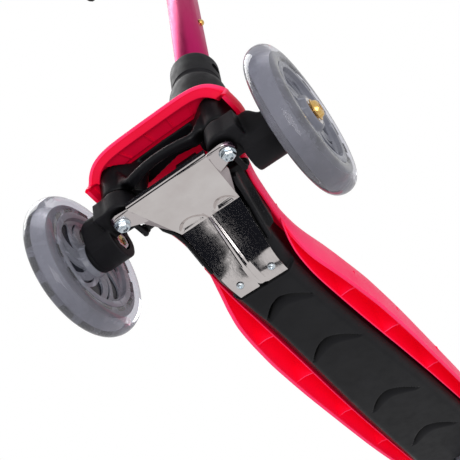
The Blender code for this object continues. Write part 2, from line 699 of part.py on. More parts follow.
def stem_and_bar(build):
    """Removable stem tube, height clamp with its lever, and the sliding handlebar."""
    axis = stem_axis()
    stem = build.node("stem_tube", ring("stem_tube", STEM_FOOT, axis, *STEM_H, *STEM_R), "tube_magenta", STEM_FOOT)
    build.cut(stem, rod("button_hole", stem_point(BUTTON_H), (0, 1, 0), 0, 0.03, 0.0040, 20))
    top = STEM_H[1]
    profile = (
        (STEM_R[1] + 0.0002, top - 0.026), (0.0213, top - 0.026), (0.0220, top - 0.0245), (0.0220, top + 0.008),
        (0.0208, top + 0.010), (UPPER_R[1] + FIT, top + 0.010), (UPPER_R[1] + FIT, top + 0.0005),
        (STEM_R[1] + 0.0002, top + 0.0005),
    )
    clamp = build.node("height_clamp", revolve("height_clamp", profile, 28, STEM_FOOT, axis),
                       "black_plastic", STEM_FOOT)
    spot = stem_point(top - 0.008)
    ears = box("clamp_ears", (spot.x - 0.034, -0.0085, spot.z - 0.009), (spot.x - 0.0195, 0.0085, spot.z + 0.009))
    build.join(clamp, ears)
    hinge = spot + Vector((-0.028, 0, 0))
    build.cut(clamp, rod("clamp_bore", hinge, (0, 1, 0), -0.02, 0.02, 0.0026, 12))
    pin = rod("clamp_bolt", hinge, (0, 1, 0), -0.0105, 0.0088, 0.0025, 12)
    bolt_item = build.node("clamp_bolt", pin, "zinc", hinge)
    build.join(bolt_item, rod("clamp_bolt_head", (0, 0, 0), (0, 1, 0), -0.0125, -0.0090, 0.0048, 16))
    bolt_item.modifiers[-1].object.location = hinge
    cam = hinge + Vector((0, 0.0148, 0))
    arm = rod("clamp_lever", cam, (0, 0, 1), -0.008, 0.008, 0.0055, 24)
    lever = build.node("clamp_lever", arm, "black_plastic", cam)
    sections = []
    for share in range(9):
        bend = share / 8
        x = cam.x + 0.056 * bend
        y = cam.y + 0.012 * math.sin(math.pi * min(1.0, bend * 1.15) * 0.62)
        wide = 0.0075 - 0.0012 * bend
        sections.append([
            (x, y - 0.0022, cam.z - wide), (x, y + 0.0022, cam.z - wide),
            (x, y + 0.0022, cam.z + wide), (x, y - 0.0022, cam.z + wide),
        ])
    build.join(lever, loft("lever_arm", sections))
    build.node("upper_tube", ring("upper_tube", STEM_FOOT, axis, UPPER_FOOT_H, BAR_H - 0.0150, *UPPER_R),
               "aluminium", STEM_FOOT)
    bar = stem_point(BAR_H)
    build.node("handlebar", ring("handlebar", bar, (0, 1, 0), -BAR_HALF, BAR_HALF, 0.0085, BAR_R),
               "tube_magenta", bar)
    tee = build.node("bar_tee", ring("bar_tee", bar, (0, 1, 0), -0.030, 0.030, BAR_R + 0.0002, 0.0145),
                     "black_plastic", bar)
    socket = ring("tee_socket", STEM_FOOT, axis, BAR_H - 0.042, BAR_H - 0.0115, UPPER_R[1] + 0.0002, 0.0175)
    build.join(tee, socket)
    build.cut(tee, rod("tee_clear", bar, (0, 1, 0), -0.04, 0.04, BAR_R + 0.0002))
    for side in (-1, 1):
        tag = "left" if side > 0 else "right"
        profile = (
            (BAR_R + 0.0002, 0.060), (0.0195, 0.060), (0.0205, 0.0615), (0.0195, 0.0635), (0.0150, 0.066),
            (0.0158, 0.100), (0.0150, 0.138), (0.0180, 0.1415), (0.0190, 0.145), (0.0180, 0.1485),
            (0.0120, 0.151), (0, 0.1515), (0, BAR_HALF + FIT), (BAR_R + 0.0002, BAR_HALF + FIT),
        )
        mesh = revolve("grip_" + tag, profile, 18, bar, (0, side, 0))
        build.node("grip_" + tag, mesh, "grip_rubber", bar)


def rear_end(build):
    """Rear wheel in the fork, its bolt and nut, and the sprung brake fender."""
    centre = (REAR_X, 0, REAR_R)
    wheel(build, "rear_wheel", centre, REAR_R, REAR_HALF_W)
    bolt(build, "rear_axle_bolt", "zinc", centre, (0, 1, 0), (0.0283, 0.0325), (-0.0330, 0.0300), 0.0072)
    nut = ring("rear_axle_nut", centre, (0, 1, 0), -0.0325, -0.0283, NUT_BORE, 0.0072, 6)
    build.node("rear_axle_nut", nut, "zinc", centre)
    inner, outer = FENDER_R
    low, high = FENDER_ARC
    loops = []
    steps = 18
    for step in range(steps + 1):
        angle = math.radians(low + (high - low) * step / steps)
        reach = [Vector((REAR_X + r * math.cos(angle), 0, REAR_R + r * math.sin(angle))) for r in (inner, outer)]
        loops.append([
            (reach[0].x, -FENDER_HALF_W, reach[0].z), (reach[0].x, FENDER_HALF_W, reach[0].z),
            (reach[1].x, FENDER_HALF_W, reach[1].z), (reach[1].x, -FENDER_HALF_W, reach[1].z),
        ])
    fender = build.node("brake_fender", loft("brake_fender", loops), "black_plastic", BRAKE_PIVOT)
    build.join(fender, rod("brake_barrel", BRAKE_PIVOT, (0, 1, 0), -FENDER_HALF_W, FENDER_HALF_W, 0.0060))
    build.join(fender, box("brake_web", (BRAKE_PIVOT.x - 0.012, -0.0138, 0.0665),
                           (BRAKE_PIVOT.x, 0.0138, 0.0735)))
    pad = []
    for angle in (60, 75, 90, 105, 120, 132):
        turn = math.radians(angle)
        for r in (outer - 0.0008, outer + 0.0035):
            pad.append((REAR_X + r * math.cos(turn), REAR_R + r * math.sin(turn)))
    loops = []
    for index in range(0, len(pad), 2):
        (x0, z0), (x1, z1) = pad[index], pad[index + 1]
        loops.append([(x0, -0.0195, z0), (x0, 0.0195, z0), (x1, 0.0195, z1), (x1, -0.0195, z1)])
    build.join(fender, loft("foot_pad", loops))
    build.cut(fender, rod("brake_bore", BRAKE_PIVOT, (0, 1, 0), -0.03, 0.03, 0.0031))
    build.node("brake_pin", rod("brake_pin", BRAKE_PIVOT, (0, 1, 0), -0.0275, 0.0275, 0.0030, 20),
               "zinc", BRAKE_PIVOT)


def main():
    clear_scene()
    build = Builder()
    deck_shell(build)
    chassis_beam(build)
    head_frame(build)
    base_plate(build)
    front_end(build)
    column(build)
    stem_and_bar(build)
    rear_end(build)
    place_cutters_on(build.parts.objects)


main()
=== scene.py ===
"""Looks of the lean-to-steer kick scooter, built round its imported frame.

Shapes are given in millimetres and turned into metres by the Shape class. Stations run along X
from the front axle, Y is to the left, Z is up, and side is 1 on the left and -1 on the right.
"""

import json
import math

import bmesh
import bpy
from mathutils import Matrix, Vector


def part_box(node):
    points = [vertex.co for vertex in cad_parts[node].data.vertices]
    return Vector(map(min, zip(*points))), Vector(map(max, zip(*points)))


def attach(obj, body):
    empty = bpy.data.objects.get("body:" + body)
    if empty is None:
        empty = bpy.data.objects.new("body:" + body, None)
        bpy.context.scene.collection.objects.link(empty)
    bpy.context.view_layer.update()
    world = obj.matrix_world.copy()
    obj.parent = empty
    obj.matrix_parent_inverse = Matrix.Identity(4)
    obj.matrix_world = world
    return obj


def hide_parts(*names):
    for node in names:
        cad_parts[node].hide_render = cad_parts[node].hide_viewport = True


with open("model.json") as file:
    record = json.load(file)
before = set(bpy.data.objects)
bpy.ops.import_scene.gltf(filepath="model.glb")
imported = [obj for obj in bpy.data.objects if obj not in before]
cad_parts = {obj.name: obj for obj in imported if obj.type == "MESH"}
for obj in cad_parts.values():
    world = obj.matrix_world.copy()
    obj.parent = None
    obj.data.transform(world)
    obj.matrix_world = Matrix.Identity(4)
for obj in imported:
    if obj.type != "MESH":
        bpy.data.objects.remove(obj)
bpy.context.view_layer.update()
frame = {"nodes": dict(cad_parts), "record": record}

MM = 0.001


# ---------------------------------------------------------------- places taken from the frame
def middle(node):
    low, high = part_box(node)
    return (low + high) / 2 / MM


def radius(node):
    low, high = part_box(node)
    return (high.z - low.z) / 2 / MM


def joint(name):
    return next(j for j in frame["record"]["behaviour"]["joints"] if j["name"] == name)


FRONT = middle("front_wheel_left_core")
FRONT_Y = FRONT.y
REAR = middle("rear_wheel_core")
KINGPIN = middle("kingpin_left")
PLATE_SCREW = middle("plate_screw_left")
LEAN = Vector(joint("lean")["pos_m"]) / MM
STEM_AXIS = Vector(joint("height_adjust")["axis"]).normalized()
BRAKE_PIVOT = Vector(joint("brake_press")["pos_m"]) / MM
FRONT_R = radius("front_wheel_left_tyre")
REAR_R = radius("rear_wheel_tyre")
BUTTON = middle("snap_button")
COLLAR_SCREW = middle("collar_bolt")
LEVER = Vector(joint("clamp_lever_swing")["pos_m"]) / MM
BAR = middle("handlebar")
BAR_HEIGHT = (BAR - LEAN).dot(STEM_AXIS)
GRIP_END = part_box("grip_left")[1].y / MM
FRONT_AXLE = Vector((FRONT.x, 0, FRONT.z))
LEAN_LINE = (0, 0, LEAN.z)
ALONG_X, ALONG_Y, ALONG_Z = (1, 0, 0), (0, 1, 0), (0, 0, 1)
FULL_TURN = 2 * math.pi
SIDE_NAME = {1: "left", -1: "right"}


def axle_x(x):
    """World millimetres of a station counted from the front axle."""
    return FRONT.x + x


def stem_point(height):
    """A point on the stem's axis at a height along it from the lean axis."""
    return LEAN + STEM_AXIS * height


def kingpin_at(side, z=0):
    return (KINGPIN.x, side * KINGPIN.y, z)


# ---------------------------------------------------------------- materials
class Finish:
    """A Principled material with its procedural detail, in object coordinates."""

    def __init__(self, name, colour, roughness, metallic=0.0, **sockets):
        self.made = bpy.data.materials.new(name)
        self.made.use_nodes = True
        self.tree = self.made.node_tree
        self.shader = self.tree.nodes["Principled BSDF"]
        self.shader.inputs["Base Color"].default_value = (*colour, 1.0)
        self.shader.inputs["Roughness"].default_value = roughness
        self.shader.inputs["Metallic"].default_value = metallic
        for socket, value in sockets.items():
            self.shader.inputs[socket.replace("_", " ")].default_value = value
        self.place = self.tree.nodes.new("ShaderNodeTexCoord").outputs["Object"]
        self.height = None

    def link(self, source, target):
        self.tree.links.new(source, target)

    def noise(self, scale, detail=3.0, stretch=(1.0, 1.0, 1.0), rough=0.5):
        """Noise in features per metre, stretched along an axis by a share below 1."""
        mapping = self.tree.nodes.new("ShaderNodeMapping")
        mapping.inputs["Scale"].default_value = stretch
        self.link(self.place, mapping.inputs["Vector"])
        made = self.tree.nodes.new("ShaderNodeTexNoise")
        made.inputs["Scale"].default_value = scale
        made.inputs["Detail"].default_value = detail
        made.inputs["Roughness"].default_value = rough
        self.link(mapping.outputs["Vector"], made.inputs["Vector"])
        return made.outputs["Fac"]

    def open_air(self, reach):
        """0 deep inside a hollow, 1 on an open face; the materials use it to paint shade into hollows."""
        made = self.tree.nodes.new("ShaderNodeAmbientOcclusion")
        made.samples = 8
        made.inputs["Distance"].default_value = reach
        return made.outputs["AO"]

    def coordinate(self, axis):
        """One coordinate of the point in metres, folded about zero."""
        split = self.tree.nodes.new("ShaderNodeSeparateXYZ")
        self.link(self.place, split.inputs["Vector"])
        made = self.tree.nodes.new("ShaderNodeMath")
        made.operation = "ABSOLUTE"
        self.link(split.outputs[axis], made.inputs[0])
        return made.outputs["Value"]

    def ranged(self, value, low, high, start=0.3, end=0.7):
        """The value's span from start to end, spread over low to high."""
        made = self.tree.nodes.new("ShaderNodeMapRange")
        made.inputs["From Min"].default_value = start
        made.inputs["From Max"].default_value = end
        made.inputs["To Min"].default_value = low
        made.inputs["To Max"].default_value = high
        self.link(value, made.inputs["Value"])
        return made.outputs["Result"]

    def mixed(self, share, first, second):
        made = self.tree.nodes.new("ShaderNodeMix")
        made.data_type = "RGBA"
        for socket, value in ((6, first), (7, second)):
            if isinstance(value, tuple):
                made.inputs[socket].default_value = (*value, 1.0)
            else:
                self.link(value, made.inputs[socket])
        self.link(share, made.inputs[0])
        return made.outputs[2]

    def colours(self, share, first, second):
        """Base colour between two tones by a share from 0 to 1."""
        self.link(self.mixed(share, first, second), self.shader.inputs["Base Color"])
        return self

    def mottled(self, scale, detail, first, second, stretch=(1.0, 1.0, 1.0)):
        """Base colour in clouds of two tones."""
        return self.colours(self.ranged(self.noise(scale, detail, stretch), 0.0, 1.0), first, second)

    def roughness(self, value, low, high):
        self.link(self.ranged(value, low, high), self.shader.inputs["Roughness"])
        return self

    def bump(self, value, strength, distance):
        made = self.tree.nodes.new("ShaderNodeBump")
        made.inputs["Strength"].default_value = strength
        made.inputs["Distance"].default_value = distance
        self.link(value, made.inputs["Height"])
        if self.height is not None:
            self.link(self.height, made.inputs["Normal"])
        self.height = made.outputs["Normal"]
        self.link(self.height, self.shader.inputs["Normal"])
        return self

    def painted_edge_highlight(self, tone, strength=0.5):
        """Painted highlight: sharp convex edges painted a little lighter than the faces."""
        geometry = self.tree.nodes.new("ShaderNodeNewGeometry")
        edge = self.ranged(geometry.outputs["Pointiness"], 0.0, strength, 0.52, 0.60)
        base = self.shader.inputs["Base Color"]
        source = base.links[0].from_socket if base.is_linked else tuple(base.default_value)[:3]
        self.link(self.mixed(edge, source, tone), base)
        return self


def pink_plastic():
    """Pink moulding with a painted deeper red in its hollows, where the light bounces between its own walls,
    and a faint painted glow.
    """
    finish = Finish("shell_pink", (0.93, 0.02, 0.11), 0.45, Specular_IOR_Level=0.18)
    # Painted glow: a faint pink emission lifts the shade to a saturated red, though the plastic is no lamp.
    finish.shader.inputs["Emission Color"].default_value = (1.0, 0.0, 0.045, 1.0)
    finish.shader.inputs["Emission Strength"].default_value = 0.10
    cloud = finish.noise(16.0, 2.0)
    tone = finish.mixed(finish.ranged(cloud, 0.0, 1.0), (0.93, 0.026, 0.125), (0.97, 0.042, 0.165))
    # Painted shade: hollows found by occlusion are painted a deep red in place of the light bouncing in them.
    finish.colours(finish.ranged(finish.open_air(0.04), 0.0, 1.0, 0.35, 0.85), (0.93, 0.0015, 0.032), tone)
    finish.roughness(finish.noise(55.0, 4.0), 0.38, 0.52)
    finish.bump(finish.noise(900.0, 2.0), 0.06, 0.0004)
    return finish.made


def pink_with_painted_shade():
    """A darker, redder copy of the shell's pink with painted shade, for faces that look inward and only see the
    shell itself.
    """
    finish = Finish("shell_pink_painted_shade", (0.80, 0.002, 0.035), 0.45, Specular_IOR_Level=0.12)
    finish.mottled(16.0, 2.0, (0.76, 0.0015, 0.030), (0.86, 0.003, 0.045))
    finish.roughness(finish.noise(55.0, 4.0), 0.40, 0.54)
    finish.bump(finish.noise(900.0, 2.0), 0.06, 0.0004)
    return finish.made


def black_plastic(name, tone, roughness, grain):
    finish = Finish(name, tone, roughness, Specular_IOR_Level=0.15)
    cloud = finish.noise(38.0, 4.0)
    lighter = tuple(c * 1.5 + 0.001 for c in tone)
    face = finish.mixed(finish.ranged(cloud, 0.0, 1.0), tone, lighter)
    # Painted shade: crevices found by occlusion are painted down to 0.15 of the tone.
    shade = tuple(c * 0.15 for c in tone)
    finish.colours(finish.ranged(finish.open_air(0.012), 0.0, 1.0, 0.55, 0.95), shade, face)
    # Painted highlight: edges of the black plastic painted lighter.
    finish.painted_edge_highlight((0.022, 0.022, 0.026), 0.4)
    finish.roughness(finish.noise(120.0, 5.0), roughness - 0.07, roughness + 0.09)
    finish.bump(finish.noise(grain, 3.0), 0.15, 0.0002)
    return finish.made


def brushed_steel(name, first, second, roughness):
    """Polished sheet: long soft reflections with fine rolling lines."""
    finish = Finish(name, first, roughness, 1.0)
    finish.mottled(45.0, 5.0, first, second)
    finish.roughness(finish.noise(700.0, 4.0, (0.08, 1.0, 1.0)), roughness - 0.03, roughness + 0.05)
    finish.bump(finish.noise(1500.0, 2.0, (0.12, 1.0, 1.0)), 0.02, 0.00002)
    return finish.made


def steel_ear():
    """Bright sheet whose turned-up outer rim carries a painted reflection: a dark maroon band stands in for the
    dark parts beside it.
    """
    finish = Finish("steel_ear", (0.66, 0.61, 0.60), 0.12, 1.0)
    # Painted reflection: past about 49 mm out from the middle, the sheet is painted dark maroon.
    rim = finish.ranged(finish.coordinate("Y"), 0.0, 1.0, 0.0482, 0.0502)
    finish.colours(rim, (0.64, 0.59, 0.59), (0.13, 0.085, 0.11))
    finish.roughness(finish.noise(700.0, 4.0, (0.08, 1.0, 1.0)), 0.10, 0.20)
    finish.bump(finish.noise(1500.0, 2.0, (0.12, 1.0, 1.0)), 0.03, 0.00006)
    return finish.made


def plated(name, first, second, roughness):
    """Zinc plate: slightly mottled and uneven in gloss."""
    finish = Finish(name, first, roughness, 1.0)
    finish.mottled(420.0, 4.0, first, second)
    finish.roughness(finish.noise(800.0, 3.0), roughness - 0.08, roughness + 0.12)
    finish.bump(finish.noise(1300.0, 2.0), 0.10, 0.0002)
    return finish.made


def anodised_tube():
    finish = Finish("tube_magenta", (0.50, 0.002, 0.11), 0.34, 0.75)
    finish.mottled(30.0, 4.0, (0.46, 0.001, 0.10), (0.56, 0.004, 0.135), (1.0, 1.0, 0.25))
    finish.roughness(finish.noise(260.0, 4.0, (1.0, 1.0, 0.2)), 0.28, 0.42)
    finish.bump(finish.noise(1100.0, 3.0), 0.06, 0.0001)
    return finish.made


def clear_tyre():
    """Clear grey polyurethane, cast round the core."""
    finish = Finish("clear_tyre", (0.72, 0.72, 0.80), 0.05, Transmission_Weight=0.90, IOR=1.30)
    finish.mottled(26.0, 3.0, (0.80, 0.80, 0.89), (0.88, 0.88, 0.96))
    finish.roughness(finish.noise(60.0, 3.0), 0.02, 0.07)
    finish.bump(finish.noise(22.0, 2.0), 0.03, 0.001)
    return finish.made


def moulded_core(name, tone, dark):
    finish = Finish(name, tone, 0.22, Specular_IOR_Level=0.25)
    finish.mottled(70.0, 3.0, tone, dark)
    finish.roughness(finish.noise(180.0, 3.0), 0.16, 0.32)
    # Painted highlight: edges of the core painted twice as light as its tone.
    finish.painted_edge_highlight(tuple(c * 2.0 for c in tone), 0.5)
    finish.bump(finish.noise(300.0, 2.0), 0.08, 0.0003)
    return finish.made


def rubber(name, tone):
    finish = Finish(name, tone, 0.75, Specular_IOR_Level=0.3)
    finish.mottled(300.0, 4.0, tone, tuple(c * 1.7 for c in tone))
    finish.roughness(finish.noise(220.0, 3.0), 0.62, 0.86)
    finish.bump(finish.noise(1600.0, 3.0), 0.35, 0.0003)
    return finish.made


PINK = pink_plastic()
PINK_PAINTED_SHADE = pink_with_painted_shade()
BLACK = black_plastic("black_plastic", (0.0045, 0.0045, 0.0058), 0.38, 1500.0)
BLACK_MATT = black_plastic("black_matt", (0.0065, 0.0062, 0.0078), 0.52, 900.0)
STEEL = brushed_steel("steel", (0.66, 0.61, 0.60), (0.75, 0.71, 0.70), 0.07)
STEEL_EAR = steel_ear()
# Painted shade: a darker copy of the plate's steel, rougher as well, for the pressed gussets.
STEEL_ROUGH_SHADED = brushed_steel("steel_rough_painted_shade", (0.30, 0.26, 0.27), (0.46, 0.41, 0.42), 0.30)
ZINC = plated("zinc", (0.56, 0.64, 0.70), (0.78, 0.84, 0.88), 0.22)
GOLD = plated("gold_zinc", (0.72, 0.42, 0.10), (0.88, 0.62, 0.26), 0.20)
TUBE = anodised_tube()
ALUMINIUM = plated("aluminium", (0.66, 0.67, 0.69), (0.76, 0.77, 0.79), 0.26)
TYRE = clear_tyre()
CORE = moulded_core("wheel_core", (0.19, 0.195, 0.23), (0.15, 0.155, 0.19))
# Painted shade: near-black copies of the core for the window and slot fillers, a little lighter on the outer
# face.
POCKET_PAINTED_SHADE = moulded_core("wheel_pocket_painted_shade", (0.006, 0.007, 0.011), (0.011, 0.012, 0.018))
POCKET_OUTER_PAINTED_SHADE = moulded_core("wheel_pocket_outer_painted_shade", (0.04, 0.044, 0.056), (0.065, 0.07, 0.085))
GRIP = rubber("grip_rubber", (0.012, 0.012, 0.013))


# ---------------------------------------------------------------- mesh tools
class Shape:
    """Collects closed parts, given in millimetres, and makes one piece of them."""

    def __init__(self):
        self.points = []
        self.faces = []

    def add(self, points, faces):
        first = len(self.points)
        self.points += [Vector(p) * MM for p in points]
        self.faces += [tuple(first + i for i in face) for face in faces]

    def loft(self, loops, closed=False):
        """Skin over loops of equal length, capped, or with the last loop joined to the first if closed."""
        count = len(loops[0])
        faces = []
        for row in range(len(loops) if closed else len(loops) - 1):
            low, high = row * count, (row + 1) % len(loops) * count
            for column in range(count):
                after = (column + 1) % count
                faces.append((low + column, low + after, high + after, high + column))
        if not closed:
            faces.append(tuple(range(count)))
            faces.append(tuple(range(len(loops) * count - 1, (len(loops) - 1) * count - 1, -1)))
        self.add([p for loop in loops for p in loop], faces)

    def arch(self, loops):
        """Skin over thin arched sections: outer half forward, inner half back, ends capped by strips."""
        count = len(loops[0])
        half = count // 2
        points = [p for loop in loops for p in loop]
        faces = []
        for row in range(len(loops) - 1):
            low, high = row * count, (row + 1) * count
            for column in range(count):
                after = (column + 1) % count
                faces.append((low + column, low + after, high + after, high + column))
        for low in (0, len(points) - count):
            for column in range(half - 1):
                back = low + count - 1 - column
                faces.append((low + column, low + column + 1, back - 1, back))
        self.add(points, faces)

    def turn(self, profile, start, axis, steps, side=1):
        """Closed (radius, height) profile turned about an axis. Side -1 turns the heights round."""
        place = axis_frame(start, axis)
        loops = []
        for step in range(steps):
            c, s = math.cos(FULL_TURN * step / steps), math.sin(FULL_TURN * step / steps)
            loops.append([place @ Vector((r * c, r * s, side * h)) for r, h in profile])
        self.loft(loops, closed=True)

    def rod(self, radius, low, high, start, axis, steps, bore=0):
        """Round bar between two heights on an axis, or a sleeve with a bore."""
        self.turn(((bore, low), (radius, low), (radius, high), (bore, high)), start, axis, steps)

    def block(self, stations, across, heights):
        """Box between two stations, two y and two z."""
        (rear, front), (near, far) = stations, across
        outline = ((rear, near), (front, near), (front, far), (rear, far))
        self.loft([[(axle_x(x), y, z) for x, y in outline] for z in heights])

    def prism(self, outline, low, high, place=None):
        """Outline of (x, y) points extruded from low to high along the place's z."""
        place = place or Matrix.Identity(4)
        self.loft([[place @ Vector((x, y, level)) for x, y in outline] for level in (low, high)])

    def tube(self, path, section):
        """Section of (across, up) points swept along a path that is never upright, with up towards +Z."""
        loops = []
        for before, point, after in neighbours(path):
            along = (after - before).normalized()
            across = along.cross(Vector(ALONG_Z)).normalized()
            up = across.cross(along)
            loops.append([point + across * a + up * b for a, b in section])
        self.loft(loops)

    def piece(self, name, material, body, replaces=(), soft=35, bevel=None, tools=()):
        """The finished piece: cut by tools, bevelled, smooth but for edges sharper than soft degrees."""
        item = self.bare(name)
        item.data.materials.append(material)
        for tool in tools:
            cut(item, tool)
        if bevel:
            round_edges(item, bevel)
        smooth(item, soft)
        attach(item, body)
        if replaces:
            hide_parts(*replaces)
        return item

    def bare(self, name):
        mesh = bpy.data.meshes.new(name)
        mesh.from_pydata([tuple(p) for p in self.points], [], self.faces)
        work = bmesh.new()
        work.from_mesh(mesh)
        bmesh.ops.remove_doubles(work, verts=work.verts, dist=1e-6)
        bmesh.ops.dissolve_degenerate(work, edges=work.edges, dist=1e-7)
        loose = [edge for edge in work.edges if not edge.link_faces]
        bmesh.ops.delete(work, geom=loose, context="EDGES")
        bmesh.ops.recalc_face_normals(work, faces=work.faces)
        work.to_mesh(mesh)
        work.free()
        item = bpy.data.objects.new(name, mesh)
        bpy.context.scene.collection.objects.link(item)
        return item


def neighbours(path):
    """Each point of a path with the one before it and the one after it."""
    last = len(path) - 1
    return [(path[max(0, i - 1)], point, path[min(last, i + 1)]) for i, point in enumerate(path)]


def axis_frame(start, axis):
    """Place whose z runs along the axis from start."""
    turn = Vector(ALONG_Z).rotation_difference(Vector(axis)).to_matrix().to_4x4()
    return Matrix.Translation(Vector(start)) @ turn


def apply_modifiers(item):
    """The evaluated mesh becomes the piece's own."""
    graph = bpy.context.evaluated_depsgraph_get()
    mesh = bpy.data.meshes.new_from_object(item.evaluated_get(graph))
    item.modifiers.clear()
    item.data = mesh


def cut(item, tool):
    cutter = tool.bare("cutter")
    modifier = item.modifiers.new("cut", "BOOLEAN")
    modifier.operation = "DIFFERENCE"
    modifier.solver = "EXACT"
    modifier.object = cutter
    apply_modifiers(item)
    bpy.data.objects.remove(cutter, do_unlink=True)


def round_edges(item, width, segments=2, limit=38):
    modifier = item.modifiers.new("round_edges", "BEVEL")
    modifier.width = width * MM
    modifier.segments = segments
    modifier.limit_method = "ANGLE"
    modifier.angle_limit = math.radians(limit)
    modifier.use_clamp_overlap = True
    modifier.miter_outer = "MITER_ARC"


def smooth(item, soft):
    item.data.shade_smooth()
    item.data.set_sharp_from_angle(angle=math.radians(soft))


def melt(item, voxel, rounds):
    """Overlapping parts flow into one moulded form with soft inner corners."""
    modifier = item.modifiers.new("melt", "REMESH")
    modifier.mode = "VOXEL"
    modifier.voxel_size = voxel * MM
    modifier.use_smooth_shade = True
    modifier = item.modifiers.new("relax", "SMOOTH")
    modifier.factor = 0.5
    modifier.iterations = rounds
    apply_modifiers(item)


def arc(centre, radius, start, end, steps):
    """Points of a circular arc, angles in degrees."""
    turns = [math.radians(start + (end - start) * step / steps) for step in range(steps + 1)]
    return [(centre[0] + radius * math.cos(t), centre[1] + radius * math.sin(t)) for t in turns]


def oval(across, up, steps, centre=(0, 0)):
    """Points of an ellipse from its half-widths."""
    turns = steps_between(0, FULL_TURN, steps)[:-1]
    return [(centre[0] + across * math.cos(t), centre[1] + up * math.sin(t)) for t in turns]


def eased(rows, x):
    """Row of values at x, by a smooth curve through rows whose first column is x."""
    rows = sorted(rows)
    x = min(max(x, rows[0][0]), rows[-1][0])
    index = next(i for i in range(len(rows) - 1) if x <= rows[i + 1][0])
    before, near, far, after = (rows[max(0, min(len(rows) - 1, index + shift))] for shift in (-1, 0, 1, 2))
    span = far[0] - near[0]
    t = (x - near[0]) / span
    values = []
    for column in range(1, len(near)):
        step = (far[column] - near[column]) / span
        first = blend_slope(before, near, column, step)
        last = blend_slope(far, after, column, step)
        values.append(
            (2 * t**3 - 3 * t**2 + 1) * near[column] + (t**3 - 2 * t**2 + t) * span * first
            + (3 * t**2 - 2 * t**3) * far[column] + (t**3 - t**2) * span * last
        )
    return values


def blend_slope(first, second, column, step):
    """Slope at a station that never overshoots its neighbours."""
    if second[0] == first[0]:
        return step
    other = (second[column] - first[column]) / (second[0] - first[0])
    if other * step <= 0:
        return 0.0
    return 2 * other * step / (other + step)


def steps_between(low, high, count):
    return [low + (high - low) * index / count for index in range(count + 1)]


def fade(value, low, high):
    """0 below low, 1 above high, smooth between."""
    t = min(1.0, max(0.0, (value - low) / (high - low)))
    return t * t * (3 - 2 * t)


# ---------------------------------------------------------------- deck shell
# x from the front axle, half-width at the top edge, crown z, edge z, crown power, hem half-width, hem z
SHELL = (
    (38, 65, 115.5, 100, 3.9, 64.5, 86.0),
    (22, 65.5, 117.5, 100, 3.9, 65, 85.0),
    (5, 63, 119.5, 98, 3.4, 62.5, 86.0),
    (-15, 46, 120.5, 92, 3.0, 45.5, 78.0),
    (-45, 38.5, 120, 86, 3.0, 38.5, 73.0),
    (-72, 36.0, 117, 80, 3.0, 37.0, 62.0),
    (-90, 37.5, 107, 74, 3.0, 39.5, 48.0),
    (-105, 40, 95, 71, 3.0, 43.0, 40.0),
    (-125, 43.5, 84, 70, 3.4, 47.5, 36.5),
    (-155, 47, 77.5, 70, 4.0, 51.5, 35.5),
    (-195, 50.5, 75, 70, 4.0, 55.0, 35.5),
    (-260, 52, 75, 70, 4.0, 57.0, 35.5),
    (-350, 51.5, 75, 70, 4.0, 57.5, 35.5),
    (-420, 50, 75, 70, 4.0, 56.0, 36.5),
    (-443, 47, 74.5, 70, 4.0, 52.0, 40.0),
    (-452, 44, 74, 69.8, 4.0, 47.0, 47.0),
)
SHELL_FRONT = SHELL[0][0]
SHELL_BACK = SHELL[-1][0]
SHELL_WALL = 2.8
HOOD_LEVEL = 117
HOOD_RAKE = 0.38
HOOD_NOSE = 60
HOOD_CORNER = 15
RIBS = (-84, -157, -226, -303, -379)
RIB_HALF = 0.5
SLOT_R = 23.5  # the slot that the column leans in: end radius, and half the straight between the ends
SLOT_HALF = 7
LEDGE_CREST = 114.0
LEDGE_HALF = 66
LEDGE_REAR = 21.5
LEDGE_FRONT = 38.0
LEDGE_RIBS = ((-46, -6), (-32, -4), (-8, -1.5), (13, 1), (33, 4))  # y, and how far it slants over 10 mm
TREAD_START = -140
TREAD_ROWS = 20
TREAD_PITCH = (15, 13)


def shell_arch(x, inset):
    """Right-to-left arch of the shell at a station, moved in by inset."""
    half, crown, edge, power, hem_half, hem = eased(SHELL, x)
    points = []
    rows = 10
    for row in range(rows):
        share = row / rows
        bulge = 1.6 * math.sin(math.pi * share)
        y = hem_half + (half - hem_half) * share + bulge - inset
        points.append((-y, hem + (edge - hem - inset * 0.4) * share))
    columns = 26
    for column in range(-columns, columns + 1):
        reach = math.sin(column / columns * math.pi / 2)
        points.append(((half - inset) * reach, edge - inset + (crown - edge) * (1 - abs(reach) ** power)))
    for row in range(rows - 1, -1, -1):
        y, z = points[row]
        points.append((-y, z))
    front = max(0.0, 1 + (x - SHELL_FRONT) / HOOD_NOSE)
    placed = []
    for y, z in points:
        lean = HOOD_RAKE * (HOOD_LEVEL - z) - HOOD_CORNER * min(1.0, abs(y) / (half - inset)) ** 7
        placed.append((axle_x(x) + front * lean, y, z))
    return placed


def deck_shell():
    shape = Shape()
    stations = set()
    for low, high, count in ((SHELL_BACK, -130, 60), (-130, -60, 36), (-60, SHELL_FRONT, 52)):
        stations |= set(steps_between(low, high, count))
    shape.arch([shell_arch(x, 0) + list(reversed(shell_arch(x, SHELL_WALL))) for x in sorted(stations)])
    slot = Shape()
    centre = stem_point(27)
    outline = [(centre.x + x, y + math.copysign(SLOT_HALF, y)) for x, y in arc((0, 0), SLOT_R, 3, 363, 47)]
    slot.prism(outline, 96, 130)
    shell = shape.piece("deck_shell_skin", PINK, "deck", ["deck_shell"], soft=40, tools=(slot,))
    round_edges(shell, 0.7, 2, 50)


